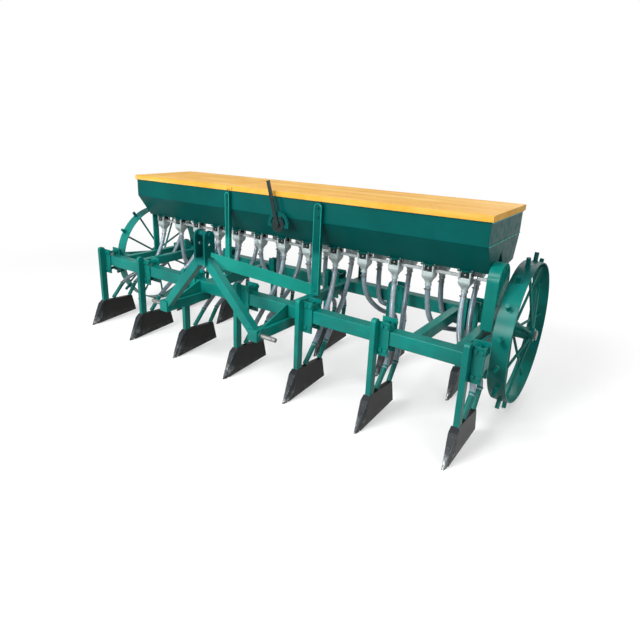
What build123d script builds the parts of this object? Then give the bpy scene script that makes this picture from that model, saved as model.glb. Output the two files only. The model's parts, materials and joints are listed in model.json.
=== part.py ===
from build123d import *
import math
import os

# Thirteen row seed drill. Millimetres, +Z up, +X along the machine's width,
# -Y towards the tractor. Places along Y are measured from the hopper's front wall
# and moved by y_shift, so that the whole stands centred on the origin.

# ---- layout -------------------------------------------------------------
row_pitch = 203.0            # 8 inch rows
front_rows = (-6, -4, -2, 0, 2, 4, 6)
rear_rows = (-5, -3, -1, 1, 3, 5)
outer_row = front_rows[-1] * row_pitch
post_x = 315.0               # the hopper's posts, either side of the middle
hopper_length = 2 * outer_row - 112.0
half_length = hopper_length / 2
fit = 0.3                    # clearance of seated round pieces

# ---- box section frame ---------------------------------------------------
beam = 65.0                  # square section
beam_top = 459.0
front_beam_y = -249.0        # its front face
front_beam_half = outer_row + 61.0
rear_beam_y = 310.0
rear_beam_half = rear_rows[-1] * row_pitch + 175.0
cross_width = 40.0
cross_drop = 6.0             # cross members lie this much below the beams' top
# name, centre X
cross_members = (("left end", 47.0 - half_length), ("left", -4.75 * row_pitch), ("left post", 15.0 - post_x),
                 ("right post", post_x - 15.0), ("right", 4.75 * row_pitch), ("right end", half_length - 7.0))

# ---- tines ---------------------------------------------------------------
shank_width = 24.0
shank_depth = 40.0
shank_top = 516.0
clamp_thick = 8.0
clamp_left = -12.0           # from the row's centre line
clamp_right = 60.0
clamp_low = 343.0
clamp_high = 500.0
shank_gap = clamp_thick      # the clamp's front plate lies between shank and beam
shoe_thick = 24.0
# side view of the shoe plate, from the beam's front face: back, up
shoe_outline = ((-46.0, 152.0), (177.0, 138.0), (204.0, 27.0), (-108.0, 3.0), (-74.0, 46.0))
point_reach = 143.0          # tip in front of the beam's face
point_heel = 22.0            # length of the point's flat tip
point_width = 38.0
boot_radius = 12.5
clamp_short = 29.0           # the rear row's back plates end this much higher
# the two pipes behind a tine, from the beam's front face: foot back, foot up, head back, head up
boot_pipes = {"front": (("seed", 34.0, 152.0, 116.0, 240.0), ("fertiliser", 162.0, 141.0, 222.0, 226.0)),
              "rear": (("seed", 34.0, 152.0, 62.0, 256.0), ("fertiliser", 162.0, 141.0, 176.0, 244.0))}

# ---- hopper --------------------------------------------------------------
hopper_top = 961.0
# outline of the lower walls from the front wall back: back, up
lower_walls = ((0.0, 837.0), (96.0, 700.0), (140.0, 700.0), (204.0, 785.0), (268.0, 700.0),
               (312.0, 700.0), (426.0, 712.0), (476.0, 837.0))
sheet = 3.0

hopper_depth = lower_walls[-1][0]
hopper_fold = lower_walls[0][1]
hopper_floor = lower_walls[1][1]
valley_y, valley_top = lower_walls[3]

lid_top = 971.0
lid_lip = 28.0
lid_over = 8.0
lid_sheet = 2.5
lid_seam = -326.0
lid_seam_gap = 6.0
hinge_y = hopper_depth + 18.0
hinge_z = 939.0
hinge_pin = 4.0
hinge_barrel = 8.0
hinge_barrel_length = 30.0
# lid, X of its hinges as shares of the hopper's half length
hinge_places = (("left", (-0.86, -0.4)), ("right", (-0.17, 0.36, 0.89)))

post_widths = {-1: 32.0, 1: 48.0}    # left, right
post_thick = 22.0
post_top = 937.0

# ---- feed cups, shafts and tubes ----------------------------------------
cup_rows = range(-6, 7)
cup_pitch = (hopper_length - 224.0) / (len(cup_rows) - 1)
cup_width = 58.0
cup_depth = 62.0
cup_height = 86.0
cup_neck = 30.0
cup_drop = 110.0
front_cup_y = (lower_walls[1][0] + lower_walls[2][0]) / 2
rear_cup_y = (lower_walls[4][0] + lower_walls[5][0]) / 2
shaft = 14.0                 # square section
shaft_gap = 0.5
shaft_drop = 32.0            # below the hopper's floor
tube_radius = 13.5
tube_sides = 8
bend_steps = 2               # straight cuts in each of a tube's bends

# ---- hitch (category 1) ---------------------------------------------------
hitch_y = -488.0
lower_spread = 683.0
lower_pin_radius = 11.0
lower_pin_length = 90.0
lower_pin_z = 374.0
mast_y = -505.0
mast_bore_z = 758.0
mast_bore_radius = 9.7
mast_gap = 52.0
mast_plate = 12.0
mast_plate_width = 66.0
mast_plate_low = 690.0
mast_head_z = 792.0           # middle of the plates' round tops
mast_spacer_z = 806.0
mast_spacer_radius = 13.5
mast_spacer_over = 9.0
stay_height = 62.0
stay_thick = 9.0
block_width = 56.0
block_depth = 56.0
block_height = 58.0
arm_width = 48.0
arm_height = 50.0
arm_centre = 312.0

# ---- ground wheels ---------------------------------------------------------
rim_radius = 344.0
rim_width = 80.0
rim_thick = 6.0
peg_length = 43.0
peg_radius = 10.0
pegs = 16                    # the wheel rests on two of them
wheel_y = 357.0              # the right wheel
# the left wheel runs on a shorter arm, further forward and a little further out
wheel_places = {-1: (half_length + 75.0, wheel_y - 105.0), 1: (half_length + 61.0, wheel_y)}
half_step = math.pi / pegs
wheel_z = (rim_radius + peg_length) * math.cos(half_step) + peg_radius * math.sin(half_step)
hub_radius = 32.0
hub_in = 6.0                 # the hub's ends from the rim's edges
hub_out = 24.0
axle_radius = 15.0
axle_gap = 0.6
spokes_per_side = 6
spoke_radius = 6.5
wheel_arm_thick = 12.0
wheel_arm_gap = 8.0          # to the hub
wheel_arm_height = 60.0
pivot_y = -110.0
pivot_radius = 24.0
collar_radius = 21.0
collar_length = 9.0
collar_gap = 3.0

# ---- chain case -------------------------------------------------------------
case_inner = half_length + 1.0
case_outer = case_inner + 52.0
case_radius = 82.0
case_rise = 8.0              # middle of its round top above the feed shaft
case_low = 462.0

# ---- rate lever ---------------------------------------------------------------
lever_x = 72.0
lever_y = -30.0
lever_pivot_z = 800.0
lever_length = 236.0
lever_lean = 16.0
lever_gap = 14.5             # from the quadrant's middle to the lever's
quadrant_radius = 70.0

mast_front = mast_y - mast_plate_width / 2
y_shift = -(mast_front + wheel_y + wheel_z) / 2


def block(x0, x1, y0, y1, z0, z1):
    """Box between two corners, Y measured from the hopper's front wall."""
    size = (x1 - x0, y1 - y0, z1 - z0)
    middle = ((x0 + x1) / 2, (y0 + y1) / 2 + y_shift, (z0 + z1) / 2)
    return Pos(*middle) * Box(*size)


def plate(x0, x1, outline):
    """Plate across X from an outline of (y, z) pairs."""
    pts = [(y + y_shift, z) for y, z in outline]
    face = make_face(Polyline(*pts, close=True))
    return extrude(Plane.YZ.offset(x0) * face, amount=x1 - x0)


def rod_x(x0, x1, y, z, radius):
    """Round bar along X."""
    centre = ((x0 + x1) / 2, y + y_shift, z)
    return Pos(*centre) * Cylinder(radius, x1 - x0, rotation=(0, 90, 0))


def bar(start, end, radius, sides=0):
    """Straight bar between two points, round or with flat sides, one corner of them along X."""
    a = Vector(start[0], start[1] + y_shift, start[2])
    b = Vector(end[0], end[1] + y_shift, end[2])
    along = b - a
    flat = along.cross(Vector(0, 0, 1) if abs(along.Z) < abs(along.Y) else Vector(0, 1, 0))
    base = Plane(origin=a, x_dir=flat.normalized(), z_dir=along.normalized())
    face = RegularPolygon(radius, sides) if sides else Circle(radius)
    return extrude(base * face, amount=along.length)


def save(shapes, node):
    """Write one node from a shape or a list of shapes that don't touch."""
    solids = []
    for shape in shapes if isinstance(shapes, list) else [shapes]:
        solids.extend(shape.solids())
    whole = solids[0] if len(solids) == 1 else Compound(children=solids)
    export_step(whole, f"parts/{node}.step")


os.makedirs("parts", exist_ok=True)

# ---- frame -------------------------------------------------------------------
beam_low = beam_top - beam
front_back = front_beam_y + beam
corner = 5.0


def box_beam(half, y):
    tube = block(-half, half, y, y + beam, beam_low, beam_top)
    return fillet(tube.edges().filter_by(Axis.X), corner)


front_beam = box_beam(front_beam_half, front_beam_y)
rear_beam = box_beam(rear_beam_half, rear_beam_y)
save(front_beam, "front_beam")
save(rear_beam, "rear_beam")

cross_top = beam_top - cross_drop
cross = [block(x - cross_width / 2, x + cross_width / 2, front_back, rear_beam_y,
               beam_low + cross_drop, cross_top) for name, x in cross_members]
save(cross, "cross_members")

# ---- tines ----------------------------------------------------------------------
def shank(x, face_y):
    y1 = face_y - shank_gap
    low = shoe_outline[0][1]
    body = block(x - shank_width / 2, x + shank_width / 2, y1 - shank_depth, y1, low, shank_top)
    top_edges = body.edges().filter_by(Axis.X).group_by(Axis.Z)[-1]
    return fillet(top_edges, shank_depth * 0.42)


def clamp(x, face_y, row_name):
    """Front and back plate beside a shank, on the rear left rows the other way round."""
    flip = row_name == "rear" and x < 0
    x0, x1 = (x - clamp_right, x - clamp_left) if flip else (x + clamp_left, x + clamp_right)
    front = block(x0, x1, face_y - clamp_thick, face_y, clamp_low, clamp_high)
    back = face_y + beam
    low = clamp_low + (clamp_short if row_name == "rear" else 0.0)
    rear = block(x0, x1, back, back + clamp_thick, low, clamp_high)
    return [front, rear]


def shoe(x, face_y, row_name):
    toe_y, toe_z = shoe_outline[3]
    root_y, root_z = shoe_outline[4]
    under = root_z * (toe_y + point_reach - point_heel) / (root_y + point_reach - point_heel)
    corners = list(shoe_outline[:4]) + [(toe_y, under), (root_y, root_z)]
    outline = [(face_y + b, z) for b, z in corners]
    body = plate(x - shoe_thick / 2, x + shoe_thick / 2, outline)
    for name, foot_y, foot_z, head_y, head_z in boot_pipes[row_name]:
        body -= boot_bar(x, face_y, foot_y, foot_z, head_y, head_z, boot_radius)
    return body


def boot_bar(x, face_y, foot_y, foot_z, head_y, head_z, radius):
    start = (x, face_y + foot_y, foot_z)
    end = (x, face_y + head_y, head_z)
    return bar(start, end, radius, 8)


def point(x, face_y):
    """Narrow pointed shovel in front of the shoe."""
    tip = face_y - point_reach
    root_y = face_y + shoe_outline[4][0]
    root_z = shoe_outline[4][1]
    top_y = face_y + shoe_outline[0][0]
    top_z = shoe_outline[0][1]
    side = [(top_y, top_z), (root_y, root_z), (tip + point_heel, 0.0), (tip, 0.0), (top_y - 26.0, top_z - 18.0)]
    body = plate(x - point_width / 2, x + point_width / 2, side)
    # plan view: parallel at the heel, pointed at the front
    w = point_width / 2
    wide_y = top_y + y_shift
    tip_y = tip + y_shift
    plan = [(x - 4.0, tip_y), (x + 4.0, tip_y), (x + w, tip_y + 68.0), (x + w, wide_y + 1.0),
            (x - w, wide_y + 1.0), (x - w, tip_y + 68.0)]
    return body & extrude(make_face(Polyline(*plan, close=True)), amount=top_z + 10.0)


groups = (("front", front_rows, front_beam_y), ("rear", rear_rows, rear_beam_y))
for name, rows, face_y in groups:
    xs = [r * row_pitch for r in rows]
    save([shank(x, face_y) for x in xs], f"{name}_shanks")
    save([p for x in xs for p in clamp(x, face_y, name)], f"{name}_clamps")
    save([shoe(x, face_y, name) for x in xs], f"{name}_shoes")
    save([point(x, face_y) for x in xs], f"{name}_points")
    pipes = []
    for x in xs:
        for pipe, foot_y, foot_z, head_y, head_z in boot_pipes[name]:
            pipes.append(boot_bar(x, face_y, foot_y, foot_z, head_y, head_z, boot_radius))
    save(pipes, f"{name}_boots")

# ---- hitch ---------------------------------------------------------------------------
shoulder = lower_spread / 2
mast_x = mast_gap / 2
mast_plates = []
for side in (-1, 1):
    x0, x1 = sorted((side * mast_x, side * (mast_x + mast_plate)))
    half = mast_plate_width / 2
    face = plate(x0, x1, [(mast_y - half, mast_plate_low), (mast_y + half, mast_plate_low),
                          (mast_y + half, mast_head_z), (mast_y - half, mast_head_z)])
    face += rod_x(x0, x1, mast_y, mast_head_z, half)
    face -= rod_x(x0 - 1, x1 + 1, mast_y, mast_bore_z, mast_bore_radius)
    mast_plates.append(face)
save(mast_plates, "mast_plates")
spacer_end = mast_x + mast_plate
spacer = [rod_x(x0, x1, mast_y, mast_spacer_z, mast_spacer_radius) for x0, x1 in
          ((-spacer_end - mast_spacer_over, -spacer_end), (-mast_x, mast_x), (spacer_end, spacer_end + mast_spacer_over))]
save(spacer, "mast_spacer")
mast_foot = block(-mast_x - mast_plate, mast_x + mast_plate, mast_y - half, mast_y + half,
                  mast_plate_low - 30.0, mast_plate_low)

blocks, pins, arms, gussets = [], [], [], []
for side in (-1, 1):
    x0, x1 = sorted((side * (shoulder - block_width), side * shoulder))
    z0 = lower_pin_z - block_height / 2
    blocks.append(block(x0, x1, hitch_y - block_depth / 2, hitch_y + block_depth / 2, z0,
                        z0 + block_height))
    pins.append(rod_x(*sorted((side * shoulder, side * (shoulder + lower_pin_length))), hitch_y,
                      lower_pin_z, lower_pin_radius))
    a0, a1 = side * arm_centre - arm_width / 2, side * arm_centre + arm_width / 2
    arms.append(block(a0, a1, hitch_y + block_depth / 2, front_back, beam_low - arm_height, beam_low))
    g = side * arm_centre
    start = hitch_y + block_depth / 2 + 20.0
    gussets.append(plate(g - 5.0, g + 5.0, [(start, beam_low), (front_beam_y, beam_low),
                                            (front_beam_y, beam_top), (front_beam_y - 20.0, beam_top)]))
save(blocks, "lower_hitch_blocks")
save(pins, "lower_hitch_pins")
save(arms, "lower_hitch_arms")
save(gussets, "hitch_gussets")

legs = []
for side in (-1, 1):
    top = Vector(side * 20.0, mast_y + y_shift, mast_plate_low - 5.0)
    low = Vector(side * (shoulder - block_width / 2), hitch_y + y_shift, lower_pin_z)
    along = (low - top).normalized()
    base = Plane(origin=top, x_dir=(0, 1, 0), z_dir=along)
    leg = extrude(base * Rectangle(40.0, 44.0), amount=(low - top).length)
    for other in blocks + mast_plates:
        leg -= other
    leg -= mast_foot
    legs.append(max(leg.solids(), key=lambda s: s.volume))
save(mast_foot, "mast_foot")
save(legs, "mast_legs")

# ---- hopper -----------------------------------------------------------------------------
def hopper_outline(top):
    return [(0.0, top)] + list(lower_walls) + [(hopper_depth, top)]


outer = plate(-half_length + sheet, half_length - sheet, hopper_outline(hopper_top))
pts = [(y + y_shift, z) for y, z in hopper_outline(hopper_top + 60.0)]
inner_face = offset(make_face(Polyline(*pts, close=True)), amount=-sheet, kind=Kind.INTERSECTION)
inner = extrude(Plane.YZ.offset(-half_length) * inner_face, amount=hopper_length)
hopper_shell = outer - inner
save(hopper_shell, "hopper_shell")
ends = [plate(x0, x0 + sheet, hopper_outline(hopper_top))
        for x0 in (-half_length, half_length - sheet)]
save(ends, "hopper_ends")
slope = (valley_top - hopper_floor) / (valley_y - lower_walls[2][0])
valley_inside = valley_top + sheet * math.hypot(1.0, slope)
partition = block(-half_length + sheet, half_length - sheet, valley_y - sheet / 2, valley_y + sheet / 2,
                  valley_inside, hopper_top - 12.0)
save(partition, "hopper_partition")

posts = []
for side in (-1, 1):
    for y0, y1 in ((-post_thick, 0.0), (hopper_depth, hopper_depth + post_thick)):
        x0, x1 = side * post_x - post_widths[side] / 2, side * post_x + post_widths[side] / 2
        top = post_top if y0 < 0 else hopper_fold + 60.0
        low = cross_top if y0 < 0 else beam_low
        body = block(x0, x1, y0, y1, low, top)
        if y0 < 0:
            edges = body.edges().filter_by(Axis.Y).group_by(Axis.Z)[-1]
            body = fillet(edges, 0.3 * post_widths[side])
        posts.append(body)
# rear posts reach forward to the rear beam by a foot
for side in (-1, 1):
    x0, x1 = side * post_x - post_widths[side] / 2, side * post_x + post_widths[side] / 2
    foot = block(x0, x1, rear_beam_y + beam, hopper_depth, beam_low, beam_low + 50.0)
    posts.append(foot)
save([posts[0], posts[2]], "front_hopper_posts")
save([posts[1] + posts[4], posts[3] + posts[5]], "rear_hopper_posts")

# brackets under the hopper's ends, standing on the end cross members
reach = 34.0
side_z = valley_top - slope * reach
outline = [(valley_y - reach, cross_top), (valley_y + reach, cross_top), (valley_y + reach, side_z),
           (valley_y, valley_top), (valley_y - reach, side_z)]
x = cross_members[-1][1]
brackets = [plate(x - 22.0, x - 14.0, outline)]
x = cross_members[0][1]
brackets.append(block(x - 32.0, x - 20.0, lower_walls[1][0], lower_walls[2][0], beam_low + cross_drop, hopper_floor))
save(brackets, "end_brackets")

stays = []
for side in (-1, 1):
    start = Vector(side * 30.0, mast_y + y_shift, mast_plate_low + 1.0)
    end = Vector(side * (post_x - 24.0), -post_thick + y_shift, cross_top + 26.0)
    along = (end - start).normalized()
    base = Plane(origin=start, x_dir=Vector(0, 0, 1).cross(along).normalized(), z_dir=along)
    stay = extrude(base * Rectangle(stay_thick, stay_height), amount=(end - start).length + 40.0)
    for other in mast_plates + legs + [mast_foot, front_beam] + posts + cross:
        stay -= other
    stay = max(stay.solids(), key=lambda s: s.volume)
    stays.append(stay)
save(stays, "mast_stays")

# ---- lids ----------------------------------------------------------------------------------
lid_low = lid_top - lid_lip
lid_ends = (("left", -half_length - lid_over, lid_seam - lid_seam_gap / 2),
            ("right", lid_seam + lid_seam_gap / 2, half_length + lid_over))
hinge_shapes = []
for (name, x0, x1), (same, places) in zip(lid_ends, hinge_places):
    shell = block(x0, x1, -lid_over, hopper_depth + lid_over, lid_low, lid_top)
    open_left = 0.0 if name == "right" else lid_sheet
    open_right = lid_sheet if name == "right" else 0.0
    shell -= block(x0 + open_left - (1.0 if open_left == 0.0 else 0.0),
                   x1 - open_right + (1.0 if open_right == 0.0 else 0.0),
                   -lid_over + lid_sheet, hopper_depth + lid_over - lid_sheet,
                   lid_low - 1.0, lid_top - lid_sheet)
    for x in (share * half_length for share in places):
        half = hinge_barrel_length / 2
        strap = block(x - half, x + half, hopper_depth + lid_over, hinge_y, hinge_z, lid_low + 12.0)
        shell += strap + rod_x(x - half, x + half, hinge_y, hinge_z, hinge_barrel)
        shell -= rod_x(x - half - 1, x + half + 1, hinge_y, hinge_z, hinge_pin + fit)
    save(shell, f"lid_{name}")
    for x in (share * half_length for share in places):
        half = hinge_barrel_length / 2
        parts = bar((x - half - 14.0, hinge_y, hinge_z), (x + half + 14.0, hinge_y, hinge_z), hinge_pin, 8)
        for side in (-1, 1):
            e0, e1 = sorted((x + side * (half + 5.0), x + side * (half + 13.0)))
            parts += block(e0, e1, hopper_depth, hinge_y + 6.0, hinge_z - 26.0, hinge_z + 2.0)
            parts += bar((e0, hinge_y, hinge_z), (e1, hinge_y, hinge_z), 7.0, 8)
        parts += block(x - half - 13.0, x + half + 13.0, hopper_depth, hopper_depth + 4.0,
                       hinge_z - 40.0, hinge_z - 14.0)
        hinge_shapes.append(parts)
save(hinge_shapes, "lid_hinges")

# ---- feed cups, shafts, tubes ------------------------------------------------------------------
shaft_z = hopper_floor - shaft_drop
cup_low = hopper_floor - cup_drop


def cup(x, y):
    half_y = cup_depth / 2
    neck = cup_neck / 2
    side = [(y - half_y, hopper_floor), (y + half_y, hopper_floor),
            (y + half_y, hopper_floor - cup_height * 0.7), (y + neck, hopper_floor - cup_height),
            (y + neck, cup_low), (y - neck, cup_low), (y - neck, hopper_floor - cup_height),
            (y - half_y, hopper_floor - cup_height * 0.7)]
    body = plate(x - cup_width / 2, x + cup_width / 2, side)
    s = shaft / 2 + shaft_gap
    for d in (-1, 1):
        x0, x1 = sorted((x + d * cup_neck / 2, x + d * (cup_width / 2 + 1)))
        body -= block(x0, x1, y - half_y - 1, y + half_y + 1, cup_low - 1,
                      hopper_floor - cup_height * 0.86)
    return body - block(x - cup_width, x + cup_width, y - s, y + s, shaft_z - s, shaft_z + s)


for name, y in (("front", front_cup_y), ("rear", rear_cup_y)):
    save([cup(i * cup_pitch, y) for i in cup_rows], f"{name}_feed_cups")
shafts = []
for y, right in ((front_cup_y, case_inner), (rear_cup_y, half_length)):
    left = cup_rows[0] * cup_pitch - cup_width
    shafts.append(block(left, right, y - shaft / 2, y + shaft / 2, shaft_z - shaft / 2,
                        shaft_z + shaft / 2))


def tube(points, radius):
    """Drop tube along straight runs with rounded bends, its top cut level under the cup."""
    pts = [Vector(x, y + y_shift, z) for x, y, z in points]
    top = points[0]
    pts[0] = pts[0] - (pts[1] - pts[0]).normalized() * radius
    line = [pts[0]]
    for a, b, c in zip(pts, pts[1:], pts[2:]):
        u, v = (b - a).normalized(), (c - b).normalized()
        turn = math.radians(u.get_angle(v))
        cut = 0.45 * min((b - a).length, (c - b).length)
        bend = cut / math.tan(turn / 2)
        across = (v - u * math.cos(turn)) * (1 / math.sin(turn))
        centre = b - u * cut + across * bend
        for step in range(bend_steps + 1):
            at = turn * step / bend_steps
            line.append(centre - across * bend * math.cos(at) + u * bend * math.sin(at))
    line.append(pts[-1])
    along = (pts[1] - pts[0]).normalized()
    section = Plane(origin=pts[0], x_dir=(1, 0, 0), z_dir=along) * RegularPolygon(radius, tube_sides)
    body = sweep(section, path=Polyline(*line), transition=Transition.RIGHT)
    reach = 3 * radius
    return body - block(top[0] - reach, top[0] + reach, top[1] - reach, top[1] + reach, top[2],
                        top[2] + reach)


# where a tube turns, by tine row and pipe: how far below the hopper's floor the first turn is,
# its Y, the same at the outermost row, then for the rear row the lane beside the shank
tube_turns = {
    ("front", "seed"): dict(y=108.0, z=478.0, outer_y=60.0, outer_z=372.0, lead=56.0),
    ("front", "fertiliser"): dict(y=262.0, z=420.0, outer_y=190.0, outer_z=356.0, lead=40.0),
    ("rear", "seed"): dict(y=122.0, z=478.0, outer_y=122.0, outer_z=394.0, lead=60.0,
                           lane=58.0, lane_y=292.0, lane_z=332.0),
    ("rear", "fertiliser"): dict(y=282.0, z=404.0, outer_y=282.0, outer_z=396.0, lead=76.0,
                                 lane=28.5, lane_y=316.0, lane_z=370.0),
}
for name, rows, face_y in groups:
    for pipe, foot_y, foot_z, head_y, head_z in boot_pipes[name]:
        cup_y = front_cup_y if pipe == "seed" else rear_cup_y
        turn = tube_turns[name, pipe]
        made = []
        for r in rows:
            side = -1 if r < 0 else 1
            outer = abs(r) >= 5
            x_cup, x_row = r * cup_pitch, r * row_pitch
            head = (x_row, face_y + head_y, head_z)
            run = math.hypot(head_y - foot_y, head_z - foot_z)
            lead = (x_row, head[1] + (head_y - foot_y) / run * turn["lead"],
                    head_z + (head_z - foot_z) / run * turn["lead"])
            first = (x_cup, turn["outer_y" if outer else "y"],
                     turn["outer_z" if outer else "z"])
            route = [(x_cup, cup_y, cup_low), first]
            if "lane" in turn:
                route.append((x_row - side * turn["lane"], turn["lane_y"], turn["lane_z"]))
            made.append(tube(route + [lead, head], tube_radius))
        save(made, f"{name}_{pipe}_tubes")

save(shafts, "feed_shafts")

# ---- chain case -----------------------------------------------------------------------------------
case = rod_x(case_inner, case_outer, front_cup_y, shaft_z + case_rise, case_radius)
case += block(case_inner, case_outer, front_cup_y - case_radius, front_cup_y + case_radius, case_low,
              shaft_z + case_rise)
save(case, "chain_case")

# ---- wheels ------------------------------------------------------------------------------------------
def wheel(side):
    inner_x, middle_y = wheel_places[side]
    outer_x = inner_x + rim_width
    hub_inner, hub_outer = inner_x - hub_in, outer_x + hub_out
    centre = (middle_y, wheel_z)
    inside = rim_radius - rim_thick
    rim = rod_x(inner_x, outer_x, *centre, rim_radius)
    x = (inner_x + outer_x) / 2
    for i in range(pegs):
        a = half_step * (2 * i + 1)
        c, s = math.cos(a), math.sin(a)
        r0, r1 = rim_radius - 5.0, rim_radius + peg_length
        rim += bar((x, middle_y + r0 * c, wheel_z + r0 * s),
                   (x, middle_y + r1 * c, wheel_z + r1 * s), peg_radius, 6)
    rim -= rod_x(inner_x - 1, outer_x + 1, *centre, inside)
    hub = rod_x(hub_inner, hub_outer, *centre, hub_radius)
    ends = ((hub_inner + 14.0, inner_x + rim_width * 0.62, 0.0),
            (hub_outer - 14.0, inner_x + rim_width * 0.38, 0.5))
    for hub_x, rim_x, phase in ends:
        for i in range(spokes_per_side):
            a = 2 * math.pi * (i + phase) / spokes_per_side
            c, s = math.cos(a), math.sin(a)
            r0, r1 = hub_radius - 8.0, inside + 4.0
            hub += bar((hub_x, middle_y + r0 * c, wheel_z + r0 * s),
                       (rim_x, middle_y + r1 * c, wheel_z + r1 * s), spoke_radius, 6)
    hub &= rod_x(hub_inner, hub_outer, *centre, inside - fit)
    hub -= rod_x(hub_inner - 1, hub_outer + 1, *centre, axle_radius + axle_gap)
    pieces = {"rim": rim, "hub": hub}
    if side < 0:
        pieces = {k: mirror(v, about=Plane.YZ) for k, v in pieces.items()}
    return pieces


for name, side in (("left", -1), ("right", 1)):
    for piece, shape in wheel(side).items():
        save(shape, f"wheel_{piece}_{name}")

arm_shapes, axles = [], []
pivot_z = beam_low + beam / 2
for side in (-1, 1):
    inner_x, middle_y = wheel_places[side]
    x1 = inner_x - hub_in - wheel_arm_gap
    x0 = x1 - wheel_arm_thick
    h = wheel_arm_height / 2
    outline = [(pivot_y - 30.0, pivot_z - h), (middle_y, wheel_z - h), (middle_y, wheel_z + h),
               (pivot_y - 30.0, pivot_z + h)]
    arm = plate(x0, x1, outline) + rod_x(x0, x1, middle_y, wheel_z, h)
    end_x = abs(cross_members[-1][1]) if side > 0 else abs(cross_members[0][1])
    boss = rod_x(end_x + cross_width / 2, x0, pivot_y, pivot_z, pivot_radius)
    arm += boss
    collar_x = inner_x + rim_width + hub_out + collar_gap
    axle = rod_x(x1, collar_x, middle_y, wheel_z, axle_radius)
    axle += rod_x(collar_x, collar_x + collar_length, middle_y, wheel_z, collar_radius)
    if side < 0:
        arm, axle = mirror(arm, about=Plane.YZ), mirror(axle, about=Plane.YZ)
    arm_shapes.append(arm)
    axles.append(axle)
save(arm_shapes, "wheel_arms")
save(axles, "axles")

# ---- rate lever and its quadrant -----------------------------------------------------------------------
quad = rod_x(-5.0, 5.0, 0.0, 0.0, quadrant_radius)
quad -= rod_x(-6.0, 6.0, 0.0, 0.0, quadrant_radius - 20.0)
quad = Pos(0, -y_shift, 0) * quad
quad &= Pos(0, 0, quadrant_radius / 2) * Box(40, 400, quadrant_radius)
quad = Rot(0, 0, 90) * quad
quad = Pos(lever_x, lever_y + y_shift, lever_pivot_z) * quad
web = block(lever_x - quadrant_radius, lever_x + quadrant_radius, lever_y - 5.0, lever_y + 5.0,
            lever_pivot_z - 16.0, lever_pivot_z)
carry = block(lever_x - 20.0, lever_x + 20.0, lever_y + 5.0, 0.0, lever_pivot_z + 40.0, lever_pivot_z + 60.0)
stem = block(lever_x - 20.0, lever_x + 20.0, lever_y - 5.0, lever_y + 5.0, lever_pivot_z,
             lever_pivot_z + 60.0)
save(quad + web + stem + carry, "quadrant")
a = math.radians(lever_lean)
start = (lever_x, lever_y - lever_gap, lever_pivot_z)
end = (lever_x - lever_length * math.sin(a), lever_y - lever_gap, lever_pivot_z + lever_length * math.cos(a))
lever = bar(start, end, 7.0, 12)
boss = Pos(lever_x, lever_y - lever_gap + y_shift, lever_pivot_z) * Cylinder(14.0, 18.0, rotation=(90, 0, 0))
save(lever + boss, "rate_lever")
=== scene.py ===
import json
import logging
import math
from dataclasses import dataclass
from enum import Enum
from typing import Iterable, Sequence

import bmesh
import bpy
from mathutils import Matrix, Vector


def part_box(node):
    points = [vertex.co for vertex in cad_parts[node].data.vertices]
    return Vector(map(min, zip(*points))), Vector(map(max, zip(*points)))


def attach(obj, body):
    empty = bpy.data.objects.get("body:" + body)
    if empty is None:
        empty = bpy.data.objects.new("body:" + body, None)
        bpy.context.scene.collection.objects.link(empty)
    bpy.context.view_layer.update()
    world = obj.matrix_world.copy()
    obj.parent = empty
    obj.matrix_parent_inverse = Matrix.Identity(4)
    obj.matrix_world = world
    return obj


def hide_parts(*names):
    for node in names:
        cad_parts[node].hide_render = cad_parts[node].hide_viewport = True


# Thirteen row seed drill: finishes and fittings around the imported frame. Blender works in
# metres. Sizes here are in millimetres, Y from the hopper's front wall, and at() converts them.

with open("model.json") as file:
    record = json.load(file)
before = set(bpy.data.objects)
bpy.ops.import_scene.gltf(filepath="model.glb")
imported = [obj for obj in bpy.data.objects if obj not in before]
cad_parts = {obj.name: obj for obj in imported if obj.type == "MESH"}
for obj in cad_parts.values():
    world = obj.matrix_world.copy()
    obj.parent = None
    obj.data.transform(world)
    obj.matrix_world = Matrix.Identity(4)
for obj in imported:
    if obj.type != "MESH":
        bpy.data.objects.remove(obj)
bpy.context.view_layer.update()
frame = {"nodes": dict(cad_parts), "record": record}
log = logging.getLogger("seed_drill")

MM = 0.001
WALL_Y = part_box("hopper_shell")[0].y
SOCKET_VECTOR = "NodeSocketVector"
SOCKET_VALUE = "NodeSocketFloat"
WHITE = (1.0, 1.0, 1.0, 1.0)
FORWARD = Vector((0, -1, 0))
Point = tuple[float, float, float]
Colour = tuple[float, float, float, float]


def at(x: float, y: float, z: float) -> Vector:
    """Return a place in metres from millimetres, y from the hopper's front wall."""
    return Vector((x * MM, y * MM + WALL_Y, z * MM))


def rgb(red: int, green: int, blue: int) -> Colour:
    """Return a linear colour from a paint chart's 0 to 255 values."""
    parts = [c / 255 for c in (red, green, blue)]
    linear = [c / 12.92 if c <= 0.04045 else ((c + 0.055) / 1.055) ** 2.4 for c in parts]
    return (linear[0], linear[1], linear[2], 1.0)


def darkened(colour: Colour, share: float) -> Colour:
    """Return a colour with only a share of its light."""
    red, green, blue, alpha = colour
    return (red * share, green * share, blue * share, alpha)


def link(thing: bpy.types.Object) -> None:
    """Put an object in the scene."""
    bpy.context.scene.collection.objects.link(thing)


# ---- finishes -----------------------------------------------------------------------------

class Coat(Enum):
    """The drill's finishes, each named by its slot in the record."""

    GREEN = "green_paint"
    STAY_AND_HIGHLIGHT = "stay_paint"
    CASE = "case_paint"
    LID = "lid_paint"
    SHOE = "shoe_paint"
    WORN = "worn_steel"
    TUBE = "tube_plastic"
    CUP = "cup_plastic"
    BRIGHT = "bright_steel"
    PLAIN = "plain_steel"
    LEVER_AND_SHADE = "lever_paint"


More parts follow.
